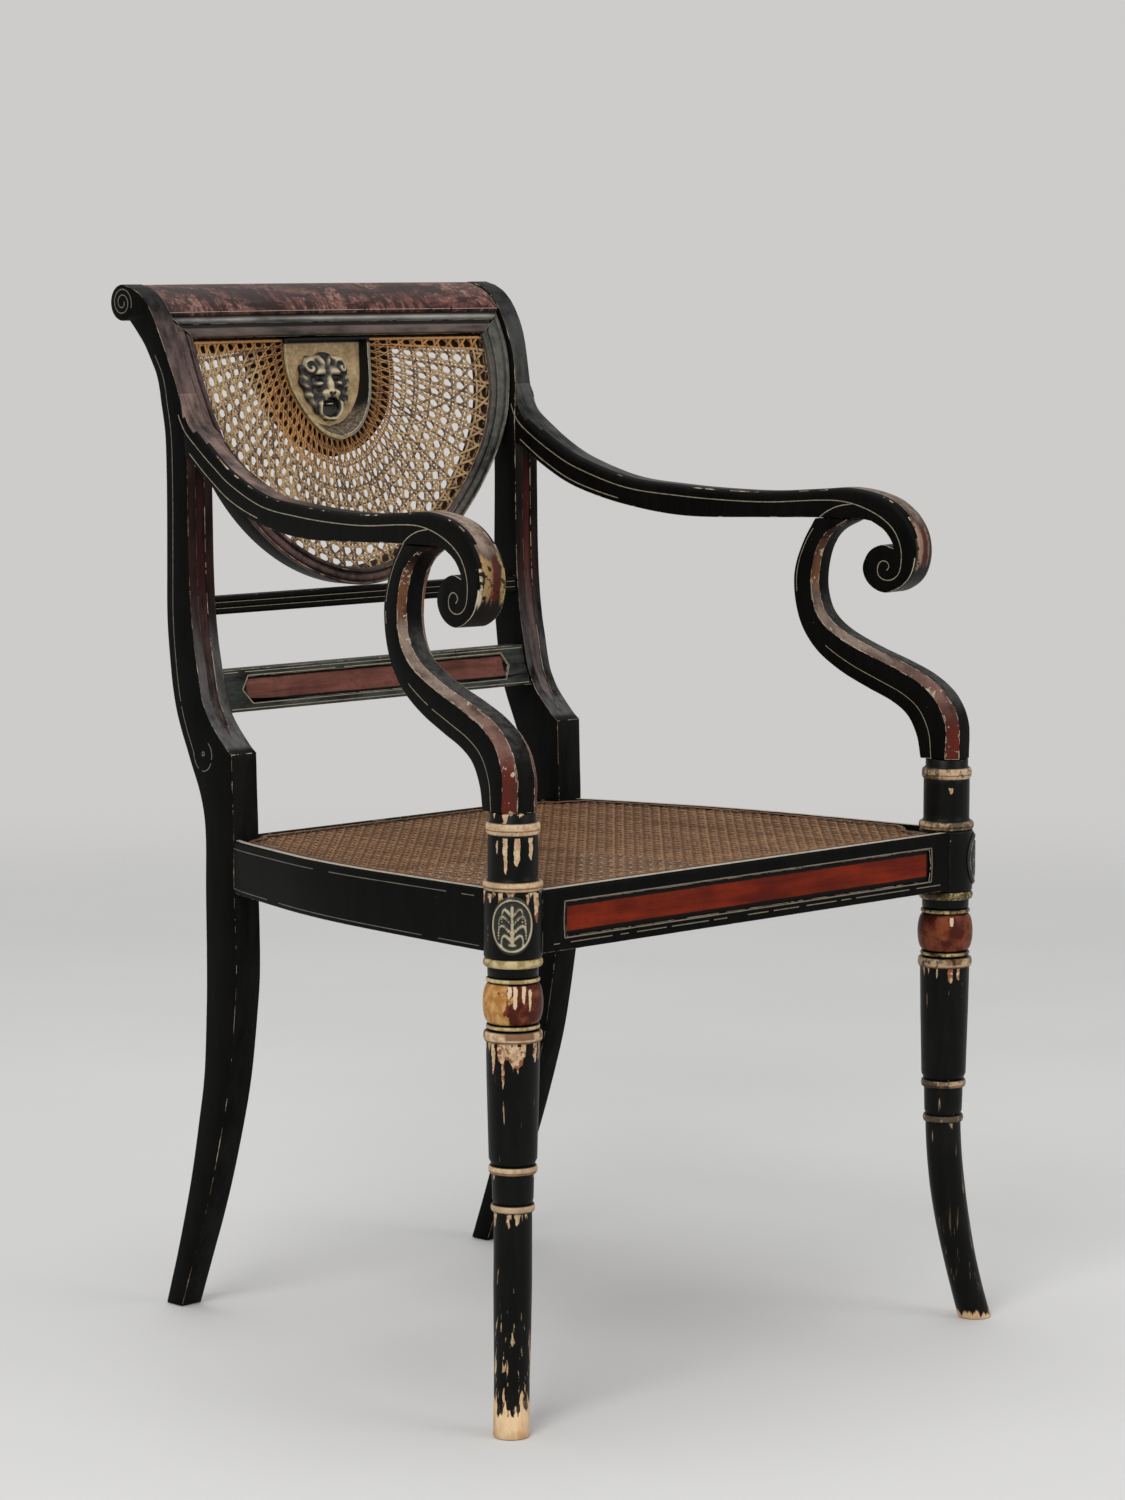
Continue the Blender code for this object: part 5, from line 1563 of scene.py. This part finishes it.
# the side's outer edge as (x, y, inward normal, width); it starts square to the post
def sideEdge():
    perSpan = 8
    edge = spline(sidePlan, perSpan)
    out = []
    for i, ((x, y), (nx, ny)) in enumerate(zip(edge, leftNormals(edge))):
        blend = ease(0, 2 * perSpan, i)
        wide = lerp(post["outer"] - post["inner"], seat["wide"], blend)
        out.append((x, y, lerp(-1.0, -nx, blend), lerp(0.0, -ny, blend), wide))
    return out


def scribe(piece):
    # the rails stop against the legs' round blocks
    radius = leg["block"] + joint
    for side in (-1, 1):
        disc = [around((side * leg["x"], leg["y"]), radius, a) for a in fullTurn(leg["steps"], 0.5)]
        sink(piece, loft("blockCut", [[(x, y, z) for x, y in disc] for z in (340.0, 440.0)], []))


def lipSlot(i, j):
    return 1 if 4 <= j <= 5 else 0


def sideRail(name, node, side):
    rings = []
    for x, y, nx, ny, wide in sideEdge():
        rings.append([(side * (x + nx * w), y + ny * w, z) for w, z in railSection(wide, seatTop(y))])
    piece = loft(name, rings, [railBlack, lipPaint], lipSlot)
    scribe(piece)
    dress(piece, [node], 0.3, 42)


def frontRail():
    section = railSection(seat["frontWide"], seat["front"])
    rings = [[(x, seat["frontFace"] + w, z) for w, z in section] for x in spread(-leg["x"], leg["x"], 25)]
    piece = loft("seatRailFront", rings, [railBlack, lipPaint, seatPanelRed], lipSlot)
    scribe(piece)
    sink(piece, panelCut("seatCut", seat, seatFace))
    paintFloor(piece, 2, seat, seatFace)
    dress(piece, ["seat_rail_front"], 0.4)


def rearRail():
    reach = post["inner"] - joint
    section = railSection(seat["rearWide"], seat["rear"])
    rings = [[(x, seat["rearFace"] - w, z) for w, z in section] for x in (-reach, 0.0, reach)]
    dress(loft("seatRailRear", rings, [black]), ["seat_rail_rear"], 0.4)


def sideLines(side):
    # one line below the top edge and one above the lower edge
    edge = [p for p in sideEdge() if p[1] > seat["lineFrom"]]
    normal = [(-side * nx, -ny, 0.0) for x, y, nx, ny, _ in edge]
    out = []
    for height in (lambda y: seatTop(y) - seat["lineBelow"], lambda y: seat["low"] + seat["lineAbove"]):
        path = [(side * (x - nx * proud), y - ny * proud, height(y)) for x, y, nx, ny, _ in edge]
        out.append((path, normal, 0.8, 0.2))
    return out


makePair(sideRail, "seatRail", "seat_rail_")
frontRail()
rearRail()
seatStrips = [(path, (0, -1, 0), 1.15, 0.08) for path in panelLines(seat, 0.0, seatFace)]
seatLine = [(x, seat["frontFace"] - proud, seat["lineLow"]) for x in spread(-seat["lineHalf"], seat["lineHalf"], 151)]
seatStrips.append((seatLine, (0, -1, 0), 0.9, 0.2))
layLines("seatPanelLines", seatStrips, panelLine)
layLines("seatLines", sideLines(-1) + sideLines(1), faintLine)
print("seat frame made")


# seat cane: six-way weave clipped to the seat's plan
weave = dict(pitch=11.0, strand=2.2, diagonal=1.9, pair=1.35, offset=1.5, lift=0.40, sag=2.2, sagWide=235.0,
             sagDeep=205.0, sagMiddle=-25, seed=5, postFrom=157, postGap=0.4, blockGap=1.5, blockTo=21.0)
lipGap = seat["lip"] + 0.7
innerEdge = [(x + nx * lipGap, y + ny * lipGap) for x, y, nx, ny, _ in sideEdge()][::-1]


def caneHalf(y):
    # notched round the posts and the legs' blocks
    if y > weave["postFrom"]:
        return post["inner"] - joint - weave["postGap"]
    corner = leg["x"] - leg["block"] - weave["blockGap"] + max(0.0, y - leg["y"] - weave["blockTo"])
    return min(corner, valueAt(innerEdge, y))


def caneBed(y):
    return seatTop(y) - seat["rebate"] + 0.5


def seatCane():
    rng = random.Random(weave["seed"])
    step = weave["pitch"]
    front, rear = seat["frontFace"] + lipGap, seat["rearFace"] - lipGap
    out = ([], [], [])

    def level(x, y, lift):
        # the cane gives a little in the middle
        across, along = x / weave["sagWide"], (y - weave["sagMiddle"]) / weave["sagDeep"]
        sagging = weave["sag"] * max(0.0, 1 - across ** 2) * max(0.0, 1 - along ** 2)
        return caneBed(y) + seat["cane"] / 2 - sagging + lift

    def lay(samples, wide, low, high, bend):
        # a strand bends at every other sample, so only those and its two ends are kept
        tone = rng.uniform(low, high)
        runs = [[]]
        for k, (x, y, lift) in enumerate(samples):
            if front <= y <= rear and abs(x) <= caneHalf(y):
                runs[-1].append((k % 2, (x, y, level(x, y, lift))))
            else:
                runs.append([])
        for run in runs:
            if len(run) > 2:
                path = [p for k, (odd, p) in enumerate(run) if odd == bend or k in (0, len(run) - 1)]
                caneStrand(out, path, (0, 0, 1), wide, tone, 0.5)

    def over(k, s):
        return weave["lift"] * math.sin(math.pi * k / 2 + (0 if s > 0 else math.pi))

    cells = int(250 / step) + 1
    rows = int((rear - front) / step) + 1
    fine = step / 4
    # pairs from front to rear, pairs across, then two sets of diagonals
    for i in range(-cells, cells + 1):
        for s in (-1, 1):
            x = i * step + s * weave["pair"]
            lay([(x, front + k * fine, over(k, s)) for k in range(rows * 4 + 1)], weave["strand"], 0.0, 0.7, 1)
    for j in range(rows + 1):
        for s in (-1, 1):
            y = front + weave["offset"] + j * step + s * weave["pair"]
            lay([(k * fine - cells * step, y, -over(k, s)) for k in range(cells * 8 + 1)], weave["strand"], 0.5, 1.0, 1)
    for way in (-1, 1):
        for i in range(-cells - rows, cells + rows + 1):
            lay([(i * step + step / 2 + way * k * fine, front + weave["offset"] + k * fine,
                  0.16 * way + 0.2 * math.sin(math.pi * k / 4)) for k in range(rows * 4 + 1)],
                weave["diagonal"], 0.5, 0.9, 0)
    paint = canePaint("brownCane", (0.320, 0.172, 0.080), (0.118, 0.057, 0.026), (0.036, 0.017, 0.009), shine=0.15)
    caneMesh("seatCane", out, paint, ["seat_cane"])


binding = dict(inset=6.0, half=1.5, waist=1.25, thick=0.65, lift=0.4, bulge=0.25, points=360, tieEvery=4, tieWide=1.6,
               tie=((-2.6, 0.0), (-1.6, 0.95), (0, 1.25), (1.6, 0.95), (2.6, 0.0)), sideTo=150.0, corner=(8.0, 160.0),
               rearIn=9.0)


def seatBinding():
    # flat strip over the peg holes, tied down by short loops
    inset, count = binding["inset"], binding["points"]
    front, rear = seat["frontFace"] + seat["lip"] + inset, seat["rearFace"] - seat["lip"] - inset
    right = [(caneHalf(y) - inset, y) for y in spread(front + 1.0, binding["sideTo"], 60)]
    cornerIn, cornerY = binding["corner"]
    right += [(post["inner"] - cornerIn, cornerY), (post["inner"] - binding["rearIn"], rear)]
    loop = right + [(-x, y) for x, y in reversed(right)]
    loop = even(loop + loop[:1], count + 1)[:-1]
    verts, ties = [], ([], [], [])
    for i, ((x, y), (nx, ny)) in enumerate(zip(loop, leftNormals(loop, True))):
        tied = i % binding["tieEvery"] == 0
        bed = caneBed(y) + seat["cane"]
        low = bed + binding["lift"] + (0.0 if tied else binding["bulge"])
        high = low + binding["thick"]
        wide = binding["waist"] if tied else binding["half"]
        section = ((-wide, low), (wide, low), (wide * 0.75, high), (-wide * 0.75, high))
        verts += [(x - nx * w, y - ny * w, z) for w, z in section]
        if tied:
            path = [(x - nx * w, y - ny * w, bed + h) for w, h in binding["tie"]]
            caneStrand(ties, path, (0, 0, 1), binding["tieWide"], 0.9, 0.4)
    faces, _ = loftFaces(count, 4, closed=True)
    out = (verts, faces, [0.65] * len(verts))
    paint = canePaint("bindingCane", (0.26, 0.145, 0.078), (0.10, 0.050, 0.027), (0.03, 0.015, 0.009), shine=0.18)
    caneMesh("seatBinding", out, paint, ["seat_binding"])
    caneMesh("seatBindingTies", ties, paint, [])


seatCane()
seatBinding()
print("seat caned")


# floor, light and camera
stageSet = dict(floor=(0.66, 0.65, 0.63), fade=(1200.0, 3400.0), air=(0.610, 0.603, 0.590),
                light=(0.95, 0.97, 1.0), strength=0.55, ring=0.3, rings=12, sectors=64, below=0.0005,
                lens=106.153, sensor=36.0, eye=(-2.5110, -2.5889 - middleDepth * mm, 0.8966),
                turn=(90 - 6.621, -0.064, -44.336))
# name, place, aim, size, watts
lamps = (("keySoft", (-2.6, -1.2, 2.9), (0, 0, 0.5), 1.8, 62), ("fillSoft", (1.2, -3.2, 1.8), (0, 0, 0.5), 2.2, 26),
         ("topSoft", (0.4, 0.6, 3.4), (0, 0, 0.4), 2.4, 34))


def linkShader(wire, share, first, second, output):
    nodes = wire.tree.nodes
    both = wire.make("MixShader", {}, {0: share, 1: Wire(wire.tree, nodes[first].outputs[0]), 2: second})
    wire.tree.links.new(both.socket, nodes[output].inputs["Surface"])


def makeStage():
    paint, wire, place = startPaint("studioFloor")
    cloud = place.noise(3, 3, 0.5)
    colour = cloud.over(0.2, 0.8).mix(dim(stageSet["floor"], 0.97), stageSet["floor"])
    setPaint(paint, {"Specular IOR Level": 0.2}, colour, 0.75 + cloud * 0.1)
    # the floor runs out into the pale air, the same on every side
    x, y = place.axis(0), place.axis(1)
    far = (x * x + y * y).over(stageSet["fade"][0] ** 2, stageSet["fade"][1] ** 2)
    linkShader(wire, far, "Principled BSDF", wire.make("BsdfTransparent"), "Material Output")
    rings, count = stageSet["rings"], stageSet["sectors"]
    reaches = [stageSet["ring"] * ring for ring in range(1, rings + 1)]
    verts = [(*around((0, 0), r, a), -stageSet["below"]) for r in reaches for a in fullTurn(count)]
    faces = [tuple(range(count))]
    for ring in range(rings - 1):
        for k in range(count):
            a, b = ring * count + k, ring * count + (k + 1) % count
            faces.append((a, a + count, b + count, b))
    mesh = bpy.data.meshes.new("studioFloor")
    mesh.from_pydata(verts, [], faces)
    mesh.materials.append(paint)
    floor = bpy.data.objects.new("studioFloor", mesh)
    scene.collection.objects.link(floor)


def makeLamp(name, place, aim, size, watts):
    light = bpy.data.lights.new(name, "AREA")
    light.shape, light.size, light.energy = "DISK", size, watts
    obj = bpy.data.objects.new(name, light)
    obj.location = place
    obj.rotation_euler = (Vector(aim) - Vector(place)).to_track_quat("-Z", "Y").to_euler()
    scene.collection.objects.link(obj)


def makeAir():
    world = bpy.data.worlds.new("studioAir")
    world.use_nodes = True
    scene.world = world
    wire = Wire(world.node_tree)
    air = world.node_tree.nodes["Background"]
    air.inputs["Color"].default_value = (*stageSet["light"], 1.0)
    air.inputs["Strength"].default_value = stageSet["strength"]
    # what the camera sees behind the chair, and what shows in its gloss
    rays = [wire.make("LightPath", out=k) for k in ("Is Camera Ray", "Is Glossy Ray", "Is Transmission Ray")]
    pale = wire.make("Background", {}, {"Color": (*stageSet["air"], 1.0), "Strength": 1.0})
    linkShader(wire, topOf(rays), "Background", pale, "World Output")


def makeCamera():
    view = bpy.data.cameras.new("photoView")
    view.lens, view.sensor_width, view.sensor_fit = stageSet["lens"], stageSet["sensor"], "AUTO"
    view.clip_start, view.clip_end = 0.1, 60.0
    camera = bpy.data.objects.new("photoView", view)
    camera.location = stageSet["eye"]
    camera.rotation_euler = [math.radians(a) for a in stageSet["turn"]]
    scene.collection.objects.link(camera)
    scene.camera = camera


makeStage()
for settings in lamps:
    makeLamp(*settings)
makeAir()
makeCamera()
scene.view_settings.view_transform = "Standard"
print("stage set")
